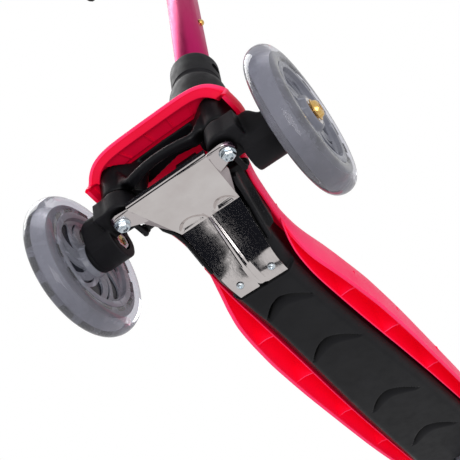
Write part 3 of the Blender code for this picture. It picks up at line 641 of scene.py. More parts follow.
def even_path(points, count):
    """Points spread evenly along a line and freed of kinks."""
    points = [Vector(p) for p in points]
    lengths = [0.0]
    for before, after in zip(points, points[1:]):
        lengths.append(lengths[-1] + (after - before).length)
    path = []
    for length in steps_between(0, lengths[-1], count):
        index = max(i for i in range(len(points) - 1) if lengths[i] <= length)
        share = (length - lengths[index]) / (lengths[index + 1] - lengths[index])
        path.append(points[index].lerp(points[index + 1], share))
    for _ in range(3):
        inside = [(a + 2 * b + c) / 4 for a, b, c in zip(path, path[1:], path[2:])]
        path = [path[0]] + inside + [path[-1]]
    return path


def along_rim(path, section):
    """Section of (forward, inward) points carried along the rim of the hood."""
    forward = Vector((1, 0, -HOOD_RAKE)).normalized()
    loops = []
    for before, point, after in neighbours(path):
        inward = (after - before).normalized().cross(forward).normalized()
        if inward.dot(Vector((path[0].x, 0, 96)) - point) < 0:
            inward = -inward
        loops.append([point + forward * a + inward * b for a, b in section])
    return loops


def hood_lip():
    """Rounded front rim of the hood, pale where it turns to the light, and the deep band behind it in the pink
    with painted shade.
    """
    path = even_path(shell_arch(SHELL_FRONT, 0), 110)[1:-1]
    shape = Shape()
    shape.loft(along_rim(path, oval(2.9, 2.1, 18, (-0.3, 1.7))))
    shape.piece("hood_lip", PINK, "deck", soft=60)
    band = Shape()
    section = ((-0.6, 2.6), (1.3, 2.6), (1.7, 3.4), (1.5, 9.2), (0.9, 10.0), (-0.2, 10.0), (-0.6, 9.2))
    band.loft(along_rim(path[4:-4], section))
    # Painted shade: the band wears the darker copy of the pink.
    band.piece("hood_band", PINK_PAINTED_SHADE, "deck", soft=40)


def ledge_top(y):
    return LEDGE_CREST - 12.0 * (abs(y) / LEDGE_HALF) ** 3.9


def hood_ledge():
    """Ribbed ledge under the front of the hood."""
    shape = Shape()
    loops = []
    for y in steps_between(-57, 57, 48):
        rear = LEDGE_REAR - 3.0 * fade(abs(y), 30, 60)
        front = LEDGE_FRONT - HOOD_CORNER * (abs(y) / 64) ** 7
        section = ((front, -1.2), (front, -3.2), (rear, -3.6), (rear - 1.2, -2.6), (rear - 1.2, 0.4))
        loops.append([(axle_x(x), y, ledge_top(y) + rise) for x, rise in section])
    shape.loft(loops)
    for y, slant in LEDGE_RIBS:
        top = ledge_top(y)
        loops = []
        for x, drop in ((38, 4.6), (30, 4.7), (22, 4.6)):
            centre = y + slant * (x - 30) / 10
            section = ((-0.6, top - drop), (0.6, top - drop), (0.6, top), (-0.6, top))
            loops.append([(axle_x(x), centre + across, z) for across, z in section])
        shape.loft(loops)
    # Painted shade: the ledge wears the darker copy of the pink.
    shape.piece("hood_ledge", PINK_PAINTED_SHADE, "deck", soft=40, bevel=0.25)


# x from the front axle, y, foot z of the wall that runs beside the beam
INNER_WALL = (
    (-446, 43.4, 41.0), (-320, 40.2, 39.0), (-260, 37.6, 38.6), (-200, 34.2, 38.6), (-150, 32.0, 38.8),
    (-118, 31.0, 39.6), (-96, 31.4, 43.0), (-82, 33.0, 49.0), (-70, 36.0, 60.0),
)


def deck_ribs():
    """Inner walls beside the beam, and the thin cross ribs between them and the hem."""
    for side in (-1, 1):
        shape = Shape()
        loops = []
        for x in steps_between(INNER_WALL[0][0], INNER_WALL[-1][0], 70):
            y, foot = eased(INNER_WALL, x)
            roof = 71.6 + 8 * fade(x, -110, -80)
            section = ((0, foot + 0.4), (0.4, foot), (0.8, foot), (1.2, foot + 0.4), (1.2, roof), (0, roof))
            loops.append([(axle_x(x), side * (y + across), z) for across, z in section])
        shape.loft(loops)
        for x in RIBS:
            half, _, edge, _, hem_half, hem = eased(SHELL, x)
            y, foot = eased(INNER_WALL, x)
            foot = max(foot, hem) + 1.0
            outer = hem_half - 1.2
            upper = half - 1.5
            arched = [
                (y + 0.6, foot + 0.2), (y + (outer - y) * 0.5, foot + 1.2), (outer, foot),
                (outer + 0.8, (foot + edge) / 2), (upper - 1, edge - 1.5), (upper - 5, edge + 2),
                (y + 0.6, 71.5),
            ]
            shape.loft([
                [(axle_x(x) + shift, side * a, b) for a, b in arched] for shift in (-RIB_HALF, RIB_HALF)
            ])
        shape.piece("deck_ribs_" + SIDE_NAME[side], PINK, "deck", soft=40)


def hem_bead():
    """Thin rounded bead along the lower edge of the shell."""
    for side in (-1, 1):
        path = []
        for x in steps_between(SHELL_BACK + 1, 18, 125):
            arch = shell_arch(x, SHELL_WALL / 2)
            path.append(Vector(arch[-1] if side > 0 else arch[0]))
        shape = Shape()
        shape.tube(path, oval(1.5, 0.8, 10, (0, 0.5)))
        shape.piece("hem_bead_" + SIDE_NAME[side], PINK, "deck", soft=60)


def grip_pattern():
    """Raised lozenges on top of the deck, in rows that alternate by half a pitch."""
    shape = Shape()
    for row in range(TREAD_ROWS):
        x = TREAD_START - row * TREAD_PITCH[0]
        half, crown, edge, power = eased(SHELL, x)[:4]
        slope = (eased(SHELL, x + 4)[1] - eased(SHELL, x - 4)[1]) / 8
        limit = half - 12
        count = int(limit // TREAD_PITCH[1])
        shift = TREAD_PITCH[1] / 2 if row % 2 else 0
        for column in range(-count, count + 1):
            y = column * TREAD_PITCH[1] + shift
            if abs(y) > limit:
                continue
            top = edge + (crown - edge) * (1 - (abs(y) / half) ** power)
            shape.loft([
                [(axle_x(x) + a * s, y + b * s, top + level + slope * a * s) for a, b in oval(5.4, 2.7, 16)]
                for s, level in ((1.0, -0.6), (1.0, 0.25), (0.86, 0.75), (0.55, 0.95))
            ])
    shape.piece("deck_tread", PINK, "deck", soft=50)


# ---------------------------------------------------------------- beam
# x from the front axle, half-width, underside z, top z
BEAM = (
    (-522, 25.0, 36.0, 48.0),
    (-512, 28.0, 32.0, 52.0),
    (-484, 28.0, 31.0, 57.0),
    (-471, 29.0, 31.0, 77.5),
    (-457, 32.0, 31.0, 77.5),
    (-453, 36.0, 31.0, 66.0),
    (-445, 41.0, 31.0, 66.8),
    (-320, 38.0, 31.0, 68.5),
    (-260, 35.0, 31.0, 69.0),
    (-200, 31.5, 31.0, 69.5),
    (-130, 28.5, 31.0, 69.5),
    (-92, 28.5, 31.0, 69.5),
    (-90.6, 28.5, 35.0, 69.5),
    (-79, 28.5, 35.4, 69.5),
    (-70, 28.5, 37.4, 69.5),
    (-58, 29.0, 43.4, 69.5),
    (-46, 30.0, 52.4, 69.5),
    (-38, 31.0, 58.0, 69.5),
)
CRESCENTS = (-111, -183, -291, -374)
CRESCENT_HALF = 24.0
CRESCENT_SWEEP = 20.0
CRESCENT_RUN = 11.5
CRESCENT_DEPTH = 6.4
FORK_SLOT = 14.8
FORK_START = -453.4


def crescent_depth(x, y):
    """How far the underside is pressed in at a point, behind the swept front edge of each recess."""
    share = abs(y) / CRESCENT_HALF
    if share >= 1:
        return 0.0
    for apex in CRESCENTS:
        behind = apex - CRESCENT_SWEEP * share**1.7 - x
        run = CRESCENT_RUN * (1 - share**2) ** 0.75 + 1.0
        if -1.0 < behind < run:
            ramp = (1 - max(0.0, behind) / run) ** 1.9
            return CRESCENT_DEPTH * (1 - share**2) ** 0.6 * ramp * fade(behind, -1.0, 0.2)
    return 0.0


def beam_section(x):
    half, low, top = eased(BEAM, x)
    drop = min(8.0, (top - low) * 0.4)
    inset = 7.0
    points = [(-half, top), (-half, low + drop + 8 if top - low > 24 else (low + drop + top) / 2)]
    points += [(-half - 0.4, low + drop + 1.5), (-half + 0.3, low + drop - 1.2)]
    points += [(-half + inset - 1.8, low + 1.0), (-half + inset - 0.4, low + 0.15)]
    columns = 34
    flat = half - inset - 0.2
    for column in range(1, columns):
        y = -flat + 2 * flat * column / columns
        points.append((y, low + crescent_depth(x, y)))
    mirrored = [(-y, z) for y, z in reversed(points[:6])]
    return [(axle_x(x), y, z) for y, z in points + mirrored]


def chassis_beam():
    shape = Shape()
    stations = set(steps_between(BEAM[0][0], -440, 41) + steps_between(-440, -40, 400))
    for apex in CRESCENTS:
        stations |= set(steps_between(apex - 36, apex + 2, 76))
    shape.loft([beam_section(x) for x in sorted(stations)])
    fork = Shape()
    mouth, end = axle_x(FORK_START), axle_x(-600)
    fork.prism([
        (end, -FORK_SLOT), (mouth - 7, -FORK_SLOT), (mouth - 2, -FORK_SLOT + 1.6), (mouth, -FORK_SLOT + 6),
        (mouth, FORK_SLOT - 6), (mouth - 2, FORK_SLOT - 1.6), (mouth - 7, FORK_SLOT), (end, FORK_SLOT),
    ], 0, 100)
    shape.piece("beam_skin", BLACK, "deck", ["chassis_beam"], soft=32, tools=(fork,))


def neck_cheeks():
    """Walls of the neck that run on beside the steel plate up to the steering head."""
    for side in (-1, 1):
        shape = Shape()
        loops = []
        for x, y, low, top in (
            (-62, 28.4, 42.0, 76), (-50, 29.2, 49.5, 80), (-38, 30.6, 58.0, 80), (-26, 32.6, 61.5, 84),
            (-15, 35.0, 59.6, 88), (-10, 35.8, 61.5, 88),
        ):
            flare = y + 1.2 + 4.4 * fade(x, -4, -16)
            section = (
                (y - 3.2, low), (y - 0.8, low - 0.6), (y + 0.6, low + 1.0), (y + 1.2, low + 9),
                (flare, low + 13), (flare, top), (y - 3.2, top),
            )
            loops.append([(axle_x(x), side * a, b) for a, b in section])
        shape.loft(loops)
        item = shape.piece("neck_cheek_" + SIDE_NAME[side], BLACK, "deck", soft=50)
        round_edges(item, 0.8, 2, 40)


# ---------------------------------------------------------------- steering head
# |y| where the block's shoulder drops towards the wheel, and where the block round the axle starts
KNUCKLE_SHOULDER = {1: 73.0, -1: 83.0}
KNUCKLE_INNER = {1: 56.5, -1: 61.8}
KNUCKLE_OUTER = 84.4
ARM_PIN = (-8, 46)
LEAN_BORE = 4.1
KINGPIN_HEAD_Z = 51.4
KINGPIN_TILT = (0.187, 0, 0.982)


def hull(first, second, radius_a, radius_b, steps=18):
    """Outline round two circles."""
    gap = Vector(second) - Vector(first)
    aim = math.degrees(math.atan2(gap.y, gap.x))
    open_by = math.degrees(math.acos(max(-1, min(1, (radius_a - radius_b) / gap.length))))
    return arc(first, radius_a, aim + open_by, aim + 360 - open_by, steps) + arc(
        second, radius_b, aim - open_by, aim + open_by, steps)


def head_frame():
    """Black steering head: bowed bar, wings, bosses over the kingpins and the lean barrel."""
    shape = Shape()
    shape.rod(12, axle_x(-62), axle_x(-17.3), LEAN_LINE, ALONG_X, 32, LEAN_BORE)
    shape.block((-59, -20), (-9, 9), (73, 90))
    shape.block((-60, -19), (-26, 26), (69.8, 78))
    bosses = ((12.6, 5.0, 76.4), (13.2, 6.0, 78.5), (13.4, 8.5, 92), (13.8, 10.0, 104))
    for side in (-1, 1):
        inner = (axle_x(13), side * 33)
        shape.loft([
            [(x, y, level) for x, y in hull(kingpin_at(side)[:2], inner, outer, root)]
            for outer, root, level in bosses
        ])
        wing = ((-52, -20, 14, 71, 77.5), (-44, -12, 26, 74, 84), (-18, 10, 34, 86, 97), (6, 18, 44, 86, 98))
        shape.loft([[
            (axle_x(rear), side * y, low), (axle_x(front), side * y, low),
            (axle_x(front), side * y, top), (axle_x(rear), side * y, top),
        ] for rear, front, y, low, top in wing])
    loops = []
    for share in steps_between(-1, 1, 48):
        y = 43 * share
        rear, front = axle_x(29.5 - 15.5 * share**2), axle_x(37 - 8.5 * share**2)
        low = 71.5 + 6.5 * fade(abs(share), 0.62, 0.90)
        tall = 6.0 + 14.0 * fade(abs(share), 0.66, 1.0)
        loops.append([(x, y, low + rise) for x, rise in (
            (rear, 0.8), (rear + 1.6, 0), (front - 2.0, 0), (front - 0.3, 1.6), (front - 0.4, tall - 1.5),
            (front - 2.4, tall), (rear + 1.5, tall), (rear, tall - 1.5),
        )])
    shape.loft(loops)
    roof = (
        (-4, -32), (6, -46), (17, -46), (20.5, -34), (21.5, 0), (20.5, 34), (17, 46), (6, 46), (-4, 32), (2, 0),
    )
    shape.prism([(axle_x(x), y) for x, y in roof], 105.0, 107.2)
    item = shape.piece("head_frame_skin", BLACK, "deck", ["head_frame"], soft=60)
    melt(item, 1.1, 3)
    item.data.materials.clear()
    item.data.materials.append(BLACK)


# ---------------------------------------------------------------- steel plate
# x from the front axle, half-width, underside z
PLATE = (
    (-90.8, 22.2, 32.6), (-79, 22.6, 33.0), (-70, 23.2, 35.4), (-58, 24.2, 41.8), (-46, 25.2, 49.6),
    (-38, 26.0, 54.6), (-27.7, 27.0, 60.3),
)
PLATE_FOLD = PLATE[-1][0]
PLATE_FRONT = (27.4, 35.2, 49.8)
PLATE_T = 1.8
PLATE_RISE = 10.5 / 55.1
BEAD_HALF = 4.8
# outline of the ear as x from the front axle and y, then the share of that outline and the lift of each ring
EAR = (
    (27.8, 33.0), (27.8, 46.5), (26.6, 51.2), (23.4, 54.4), (19.2, 55.5), (14.8, 54.2), (11.8, 50.2),
    (8.8, 43.6), (5.6, 37.0), (4.5, 32.0), (14, 30.5), (22, 31.0),
)
EAR_CENTRE = (19, 44)
EAR_RIM = (
    (0.74, 0.25), (0.84, 0.35), (0.92, 0.9), (0.98, 1.9), (1.0, 2.9), (0.97, 3.1), (0.86, 1.9), (0.74, 1.4),
)


def plate_point(x, share):
    """Underside of the steel plate at a station and a share from -1 to 1 across it."""
    if x <= PLATE_FOLD:
        half, low = eased(PLATE, x)
    else:
        t = (x - PLATE_FOLD) / (PLATE_FRONT[0] - PLATE_FOLD)
        half, low = (a + (b - a) * t for a, b in zip(PLATE[-1][1:], PLATE_FRONT[1:]))
    y = half * share
    if x <= PLATE_FOLD:
        along = (x - PLATE[0][0]) / (PLATE_FOLD - PLATE[0][0])
        wide = BEAD_HALF * (1.10 - 0.72 * along)
        crest = 2.0 * (1 - 0.45 * along)
        low -= crest * 0.5 * (1 + math.cos(math.pi * min(1.0, abs(y) / wide))) * fade(x, -91.5, -86)
    else:
        for centre, reach, long in ((-14.0, 12.6, 13.0), (15.5, 9.6, 12.0)):
            across = (y - centre) / reach
            along = (x - PLATE_FOLD) / long
            low += 1.7 * fade(across**2 + along**2, 1.0, 0.5) * fade(x, PLATE_FOLD + 0.6, PLATE_FOLD + 4.5)
        low -= 1.3 * fade(abs(y), 3.2, 0.0) * fade(x, PLATE_FOLD + 16, PLATE_FOLD)
    return Vector((axle_x(x), y, low))


def base_plate():
    rows = steps_between(PLATE[0][0], PLATE_FOLD, 120) + steps_between(PLATE_FOLD + 0.6, PLATE_FRONT[0], 90)
    columns = steps_between(-1, 1, 140)
    loops = []
    for x in rows:
        lower = [plate_point(x, share) for share in columns]
        upper = [point + Vector((0, 0, PLATE_T)) for point in reversed(lower)]
        loops.append(lower + upper)
    last = loops[-1]
    half = len(last) // 2
    flange = ((0.9, 0.15, -0.1, 0.05), (1.7, 0.7, -0.2, 0.1), (2.0, 1.5, -0.25, 0.4), (2.1, 3.6, -0.2, 1.9),
              (2.1, 5.8, -0.1, 3.9))
    for turn, lift, back, rise in flange:
        lower = [p + Vector((turn, 0, lift)) for p in last[:half]]
        upper = [p + Vector((back + 0.3, 0, rise)) for p in last[half:]]
        loops.append(lower + upper)
    shape = Shape()
    shape.loft(loops)
    item = shape.piece("base_plate_skin", STEEL, "deck", ["base_plate"], soft=24)
    round_edges(item, 0.4, 3, 60)
    head = ((0, 30.6), (1.5, 30.6), (2.6, 31.1), (3.1, 31.9), (3.1, 32.6), (0, 32.6))
    for side in (-1, 1):
        plate_ear(side)
        tag = SIDE_NAME[side]
        screw = Shape()
        place = Vector((PLATE_SCREW.x, side * PLATE_SCREW.y, 0))
        screw.turn(head, place, ALONG_Z, 32)
        socket = Shape()
        socket.prism([(place.x + x, place.y + y) for x, y in arc((0, 0), 1.35, 0, 300, 5)], 29, 31.9)
        screw.piece("plate_screw_head_" + tag, ZINC, "deck", ["plate_screw_" + tag], tools=(socket,),
                    bevel=0.15)


def plate_level(x):
    """Underside of the plate's front part at a station."""
    return plate_point(PLATE_FRONT[0], 0).z + (PLATE_FRONT[0] - x) * PLATE_RISE


def plate_ear(side):
    """Tab that carries the kingpin's head, and the pressed gusset that stiffens it."""
    tag = SIDE_NAME[side]
    ear = Shape()
    loops = []
    for share, lift in EAR_RIM:
        loops.append([])
        for x, y in EAR:
            station = EAR_CENTRE[0] + (x - EAR_CENTRE[0]) * share
            rise = lift if y > 38 else 0.25 + 0.35 * lift
            loops[-1].append((axle_x(station), side * (EAR_CENTRE[1] + (y - EAR_CENTRE[1]) * share),
                              plate_level(station) + rise))
    ear.loft(loops)
    pin = Shape()
    pin.rod(4.3, 40, 70, kingpin_at(side), ALONG_Z, 28)
    ear.piece("plate_ear_" + tag, STEEL_EAR, "deck", soft=30, tools=(pin,))
    gusset = Shape()
    rows = []
    for t in steps_between(0, 1, 16):
        inner = plate_point(23.5 - 42.9 * t, side)
        swell = t / 0.48 if t < 0.48 else (1 - t) / 0.52
        outer = inner + Vector((0, side * (0.3 + 6.4 * swell), 0.2 + 2.2 * swell))
        rows.append([
            inner + Vector((0, -side * 0.6, 0.1)), outer, outer + Vector((0, 0, 1.1)),
            inner + Vector((0, -side * 0.6, 1.3)),
        ])
    gusset.loft(rows)
    # Painted shade: the gusset is the same sheet as the plate, painted darker.
    gusset.piece("plate_gusset_" + tag, STEEL_ROUGH_SHADED, "deck", soft=40)


def hex_bolt(name, body, node, start, axis, top, height, across, material):
    """Flanged hex head with a dished, embossed top. The head grows along -axis from top."""
    place = axis_frame(start, axis)
    face = top - height
    shape = Shape()
    shape.turn((
        (0, top), (across * 1.12, top), (across * 1.16, top - 0.4), (across * 1.05, top - 1.2), (0, top - 1.2),
    ), start, axis, 40)
    hexagon = arc((0, 0), across, 0, 300, 5)
    shape.loft([
        [place @ Vector((x * s, y * s, level)) for x, y in hexagon]
        for s, level in ((1.0, top - 1.0), (1.0, face + 0.9), (0.86, face))
    ])
    dish = Shape()
    dish.turn((
        (0, face + 0.9), (across * 0.40, face + 1.0), (across * 0.62, face - 0.05), (across * 0.62, face - 2),
        (0, face - 2),
    ), start, axis, 32)
    item = shape.piece(name, material, body, [node], bevel=0.3)
    cut(item, dish)
    boss = Shape()
    boss.turn((
        (0, face + 1.6), (across * 0.30, face + 1.6), (across * 0.26, face + 0.5), (0, face + 0.3),
    ), start, axis, 24)
    boss.piece(name + "_boss", material, body)


# ---------------------------------------------------------------- wheels
FRONT_WHEEL_HALF = 11.5
REAR_WHEEL_HALF = 12.0
HUB_R = 13.2
HUB_BORE = 11.05
SWIRLS = 6
TYRE_SWEEP = 78


def swirl_window(base, inner, outer, width_in, width_out, sweep, power=0.8, steps=40):
    """Rounded teardrop between two radii, bent round the hub."""
    outline = []
    for c, s in oval(1, 1, steps):
        along = 0.5 + 0.5 * math.copysign(abs(c) ** power, c)
        across = math.copysign(abs(s) ** power, s)
        radius = inner + (outer - inner) * along
        angle = base + sweep * along**1.3 + across * (width_in + (width_out - width_in) * along)
        outline.append((radius * math.cos(angle), radius * math.sin(angle)))
    return outline


def wheel(tag, body, centre, radius, half, turn=1):
    """Clear tyre cast on a swirl-spoked core, with its bearing seats."""
    scale = radius / 60
    across = Matrix.Translation(Vector(centre)) @ Matrix.Rotation(math.radians(-90), 4, "X")
    rim = radius - 19 * scale
    hub = HUB_R
    lip = rim - 5.5 * scale
    core = Shape()
    face = half - 0.6
    profile = [
        (HUB_BORE, half - 0.3), (hub - 1, half - 0.3), (hub, half - 1.2), (hub + 1.5 * scale, half * 0.62),
        (lip - 2 * scale, half * 0.50), (lip, half * 0.62), (lip + 1, face - 0.8), (rim - 1, face - 0.3),
        (rim + 0.4, face - 0.8), (rim + 0.4, 5.4), (rim + 8 * scale, 4.8),
    ]
    core.turn([(r, -h) for r, h in profile] + profile[::-1], centre, ALONG_Y, 96)
    windows = Shape()
    for index in range(SWIRLS):
        base = FULL_TURN * index / SWIRLS
        big = swirl_window(base, hub + 1.9, lip - 0.9 * scale, 0.11, 0.30, 0.62 * turn)
        windows.prism(big, -half, half, across)
        low, high = hub + 2.5 * scale + 1, lip - 1.6 * scale
        slit = swirl_window(base + turn * 0.46, low, high, 0.04, 0.07, 0.66 * turn, 0.9, 28)
        windows.prism(slit, -half, half, across)
    item = core.piece(tag + "_core_skin", CORE, body, [tag + "_core"], soft=30,
                      tools=(windows,))
    round_edges(item, 0.6, 2, 45)
    outward = 1 if centre[1] >= 0 else -1
    # Painted shade: dark discs inside the swirl windows stand in for the shade in them, lighter on the outer
    # face.
    for name, material, low, high in (("in", POCKET_PAINTED_SHADE, -4.7, -0.1), ("out", POCKET_OUTER_PAINTED_SHADE, 0.1, 4.7)):
        floor = Shape()
        floor.rod(lip + 0.5, outward * low, outward * high, centre, ALONG_Y, 72, hub - 0.5)
        floor.piece(tag + "_window_painted_shade_" + name, material, body)
    tyre = Shape()
    shoulder = rim + 5.5 * scale
    flank = [(rim + 0.45, half * 0.86), (rim + 1.8, half - 0.9), (rim + 3, half - 0.45), (shoulder, half - 0.2)]
    profile = [(r, -h) for r, h in flank]
    for t in steps_between(-TYRE_SWEEP, TYRE_SWEEP, 26):
        angle = math.radians(t)
        reach = shoulder + (radius - shoulder) * math.cos(angle) ** 0.80
        profile.append((reach, half * math.sin(angle) / math.sin(math.radians(TYRE_SWEEP)) * 0.985))
    tyre.turn(profile + flank[::-1], centre, ALONG_Y, 128)
    tyre.piece(tag + "_tyre_skin", TYRE, body, [tag + "_tyre"], soft=50)
    slots = Shape()
    count = 14 if radius > 50 else 10
    for index in range(count):
        base = 360 / count * index
        span = 360 / count * 0.27
        inner, outer = rim + 0.9 * scale, rim + 4.0 * scale
        outline = arc((0, 0), outer, base - span, base + span, 6)
        outline += arc((0, 0), inner, base + span, base - span, 6)
        for side in (-1, 1):
            slots.prism(outline, side * (half - 2.6) - 0.8, side * (half - 2.6) + 0.8, across)
    # Painted shade: dark blocks in the rim stand in for the shade inside its slots.
    slots.piece(tag + "_rim_slots", POCKET_PAINTED_SHADE, body, bevel=0.3)
    bearings(tag, body, centre, half)


def bearings(tag, body, centre, half):
    """Outer ring, shield and inner ring of both ball bearings."""
    shape = Shape()
    for side in (-1, 1):
        face = half - 0.35
        back = half - 6.8
        profile = (
            (4.1, back), (11, back), (11, face - 0.3), (10.7, face), (9.0, face), (8.6, face - 0.5),
            (6.6, face - 0.5), (6.2, face), (4.5, face), (4.1, face - 0.3),
        )
        shape.turn(profile, centre, ALONG_Y, 48, side)
    names = [tag + "_bearing_in", tag + "_bearing_out"]
    shape.piece(tag + "_bearings", STEEL, body, names, soft=30)


def knuckle(side):
    """Moulded steering knuckle: kingpin barrel, block round the axle and bearing cup."""
    tag = SIDE_NAME[side]
    shape = Shape()
    barrel = ((0, 56.8), (12.8, 56.8), (13.6, 58.2), (13.8, 73.5), (13.0, 75.4), (0, 75.4))
    shape.turn(barrel, kingpin_at(side), ALONG_Z, 40)
    across = Matrix.Translation(FRONT_AXLE) @ Matrix.Rotation(math.radians(90), 4, "X")
    nose = (
        (12.5, 51.0), (17.2, 56.8), (19.4, 63), (21.6, 70), (22.2, 75.0), (20.8, 78.6), (17.5, 80.2), (8, 80.3),
        (0.5, 79.4), (-4.5, 77.0),
    )
    outline = arc((0, 0), 14.4, 130, 300, 22) + [(x, z - FRONT.z) for x, z in nose]
    loops = []
    for reach in steps_between(KNUCKLE_INNER[side], KNUCKLE_OUTER, 10):
        drop = fade(reach, KNUCKLE_SHOULDER[side] - 4, KNUCKLE_SHOULDER[side] + 7)
        loops.append([
            across @ Vector((x - 2.0 * drop * (z > 4), z - 0.55 * drop * max(0.0, z - 2.0), -side * reach))
            for x, z in outline
        ])
    shape.loft(loops)
    shape.block((5, 30.5), (side * 50, side * 64), (57.2, 75.2))
    shape.block((2, 21), (side * 55, side * 63), (70, 79.6))
    shape.rod(12.2, side * 82, side * 87, FRONT_AXLE, ALONG_Y, 40)
    shape.block((-10.2, 14), (side * 44, side * 48), (59.6, 63.3))
    shape.rod(2.5, 60, 70, (axle_x(ARM_PIN[0]), side * ARM_PIN[1], 0), ALONG_Z, 20)
    item = shape.piece("knuckle_skin_" + tag, BLACK_MATT, "knuckle_" + tag, ["knuckle_" + tag],
                       soft=60)
    melt(item, 1.0, 5)
    pin = Shape()
    pin.rod(4.2, 40, 95, kingpin_at(side), ALONG_Z, 28)
    axle = Shape()
    axle.turn(((0, 56), (8.2, 56), (8.2, 67.2), (4.2, 67.2), (4.2, 95), (0, 95)), FRONT_AXLE, ALONG_Y, 28, side)
    for tool in (pin, axle):
        cut(item, tool)
    item.data.materials.clear()
    item.data.materials.append(BLACK_MATT)
    smooth(item, 40)
    cup = Shape()
    cup.turn((
        (9.5, 83.0), (12.9, 83.0), (13.7, 84.0), (13.8, 87.0), (13.3, 87.7), (11.8, 87.7), (11.2, 86.6),
        (9.5, 86.4),
    ), FRONT_AXLE, ALONG_Y, 56, side)
    cup.piece("bearing_cup_" + tag, BLACK, "knuckle_" + tag, soft=40)


def tie_bar():
    """Flat link with round eyes between the two knuckle arms."""
    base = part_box("tie_bar")[0].z / MM
    outline = arc((0, ARM_PIN[1]), 4.2, -55, 235, 20) + arc((0, -ARM_PIN[1]), 4.2, 125, 415, 20)
    shape = Shape()
    shape.loft([
        [(axle_x(ARM_PIN[0] + x * s), y, base + rise) for x, y in outline]
        for s, rise in ((0.9, 0.2), (1.0, 0.5), (1.0, 2.5), (0.9, 2.8))
    ])
    shape.piece("tie_bar_skin", BLACK, "tie_bar", ["tie_bar"], soft=40)


def axle_heads(side):
    """Gold button-head axle bolt with its washer and hex socket."""
    tag = SIDE_NAME[side]
    low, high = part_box("axle_bolt_" + tag)
    face = (high.y if side > 0 else -low.y) / MM
    seat = face - 4.2
    shape = Shape()
    shape.turn((
        (0, seat), (8.4, seat), (8.4, seat + 0.8), (7.0, seat + 0.9), (6.9, seat + 1.6), (5.9, face - 0.7),
        (4.4, face), (0, face),
    ), FRONT_AXLE, ALONG_Y, 48, side)
    shape.rod(4, side * 63.4, side * (seat + 0.5), FRONT_AXLE, ALONG_Y, 24)
    socket = Shape()
    across = Matrix.Translation(FRONT_AXLE) @ Matrix.Rotation(math.radians(-90), 4, "X")
    low, high = sorted((side * (face - 2.0), side * (face + 1)))
    socket.prism(arc((0, 0), 2.9, 0, 300, 5), low, high, across)
    shape.piece("axle_bolt_head_" + tag, GOLD, "knuckle_" + tag, ["axle_bolt_" + tag],
                tools=(socket,), bevel=0.2)


# ---------------------------------------------------------------- column and stem
STEM_ENDS = (190.4, 500.0)
CLAMP_HEIGHT = 492
GRIP_RIBS = 16
GRIP_PITCH = 4.3


def column():
    """Leaning column with its lugs on the lean pin, and the collar with its screw."""
    shape = Shape()
    profile = [
        (0, 15), (19.5, 15), (19.5, 33.0), (25.5, 34.0), (27.4, 35.4), (28.0, 38), (28.0, 100), (28.0, 138),
    ]
    turns = steps_between(0, math.pi / 2, 9)[1:]
    profile += [(23.6 + 4.4 * math.cos(t), 138 + 24 * math.sin(t)) for t in turns]
    profile += [
        (23.2, 163.2), (22.6, 165.2), (22.6, 167.4), (23.3, 169.4), (22.8, 170.0), (14.8, 170), (14.8, 58),
        (0, 58),
    ]
    shape.turn(profile, LEAN, STEM_AXIS, 72)
    for low, high in ((-72, -62.3), (-17, -7)):
        shape.rod(11, axle_x(low), axle_x(high), LEAN_LINE, ALONG_X, 32, LEAN_BORE)
        shape.block((low + 0.5, high - 0.5), (-8.8, 8.8), (LEAN.z + 5, 108.5))
    shape.block((-71, -8), (-9.5, 9.5), (104.5, 110.8))
    shape.block((-12, -7.6), (-3, 3), (63, 88))
    shape.piece("column_skin", BLACK_MATT, "column", ["column_housing"], soft=34)
    collar = Shape()
    collar.turn((
        (14.7, 170.4), (22.4, 170.4), (23.4, 171.4), (23.8, 176), (23.8, 196.5), (23.6, 199.8), (22.6, 202.2),
        (21.0, 203.0), (17.2, 203.0), (17.2, 190), (14.7, 190),
    ), LEAN, STEM_AXIS, 72)
    hole = Shape()
    spot = Vector((COLLAR_SCREW.x, 0, COLLAR_SCREW.z))
    hole.turn(((0, 18.2), (5.6, 18.2), (5.9, 30), (0, 30)), spot, ALONG_Y, 36)
    item = collar.piece("collar_skin", BLACK_MATT, "column", ["column_collar"], soft=34,
                        tools=(hole,))
    round_edges(item, 0.4, 2, 50)
    screw = Shape()
    head = ((0, 16), (4.7, 16), (4.7, 20.0), (4.2, 20.9), (2.4, 21.0), (1.9, 19.2), (0, 19.0))
    screw.turn(head, spot, ALONG_Y, 36)
    screw.piece("collar_screw_head", ZINC, "column", ["collar_bolt"], bevel=0.15)


def stem_tube():
    """Magenta tube with a rolled lower end and the hole for the snap button."""
    low, high = STEM_ENDS
    shape = Shape()
    shape.turn((
        (14.9, low + 0.5), (15.4, low), (16.6, low), (17.0, low + 0.6), (17.0, high - 0.6), (16.6, high),
        (15.4, high), (14.9, high - 0.5),
    ), LEAN, STEM_AXIS, 72)
    hole = Shape()
    spot = Vector((BUTTON.x, 0, BUTTON.z))
    hole.rod(4.1, 5, 30, spot, ALONG_Y, 32)
    shape.piece("stem_tube_skin", TUBE, "stem", ["stem_tube"], soft=40, tools=(hole,))
    button = Shape()
    profile = [(0, 8.6), (4.6, 8.6), (4.6, 10.8), (3.5, 10.8), (3.5, 17.2)]
    profile += [(3.7 * math.cos(t), 17.2 + 3.6 * math.sin(t)) for t in steps_between(0, math.pi / 2, 7)[1:]]
    button.turn(profile, spot, ALONG_Y, 32)
    button.piece("snap_button_dome", GOLD, "snap_button", ["snap_button"], soft=50)


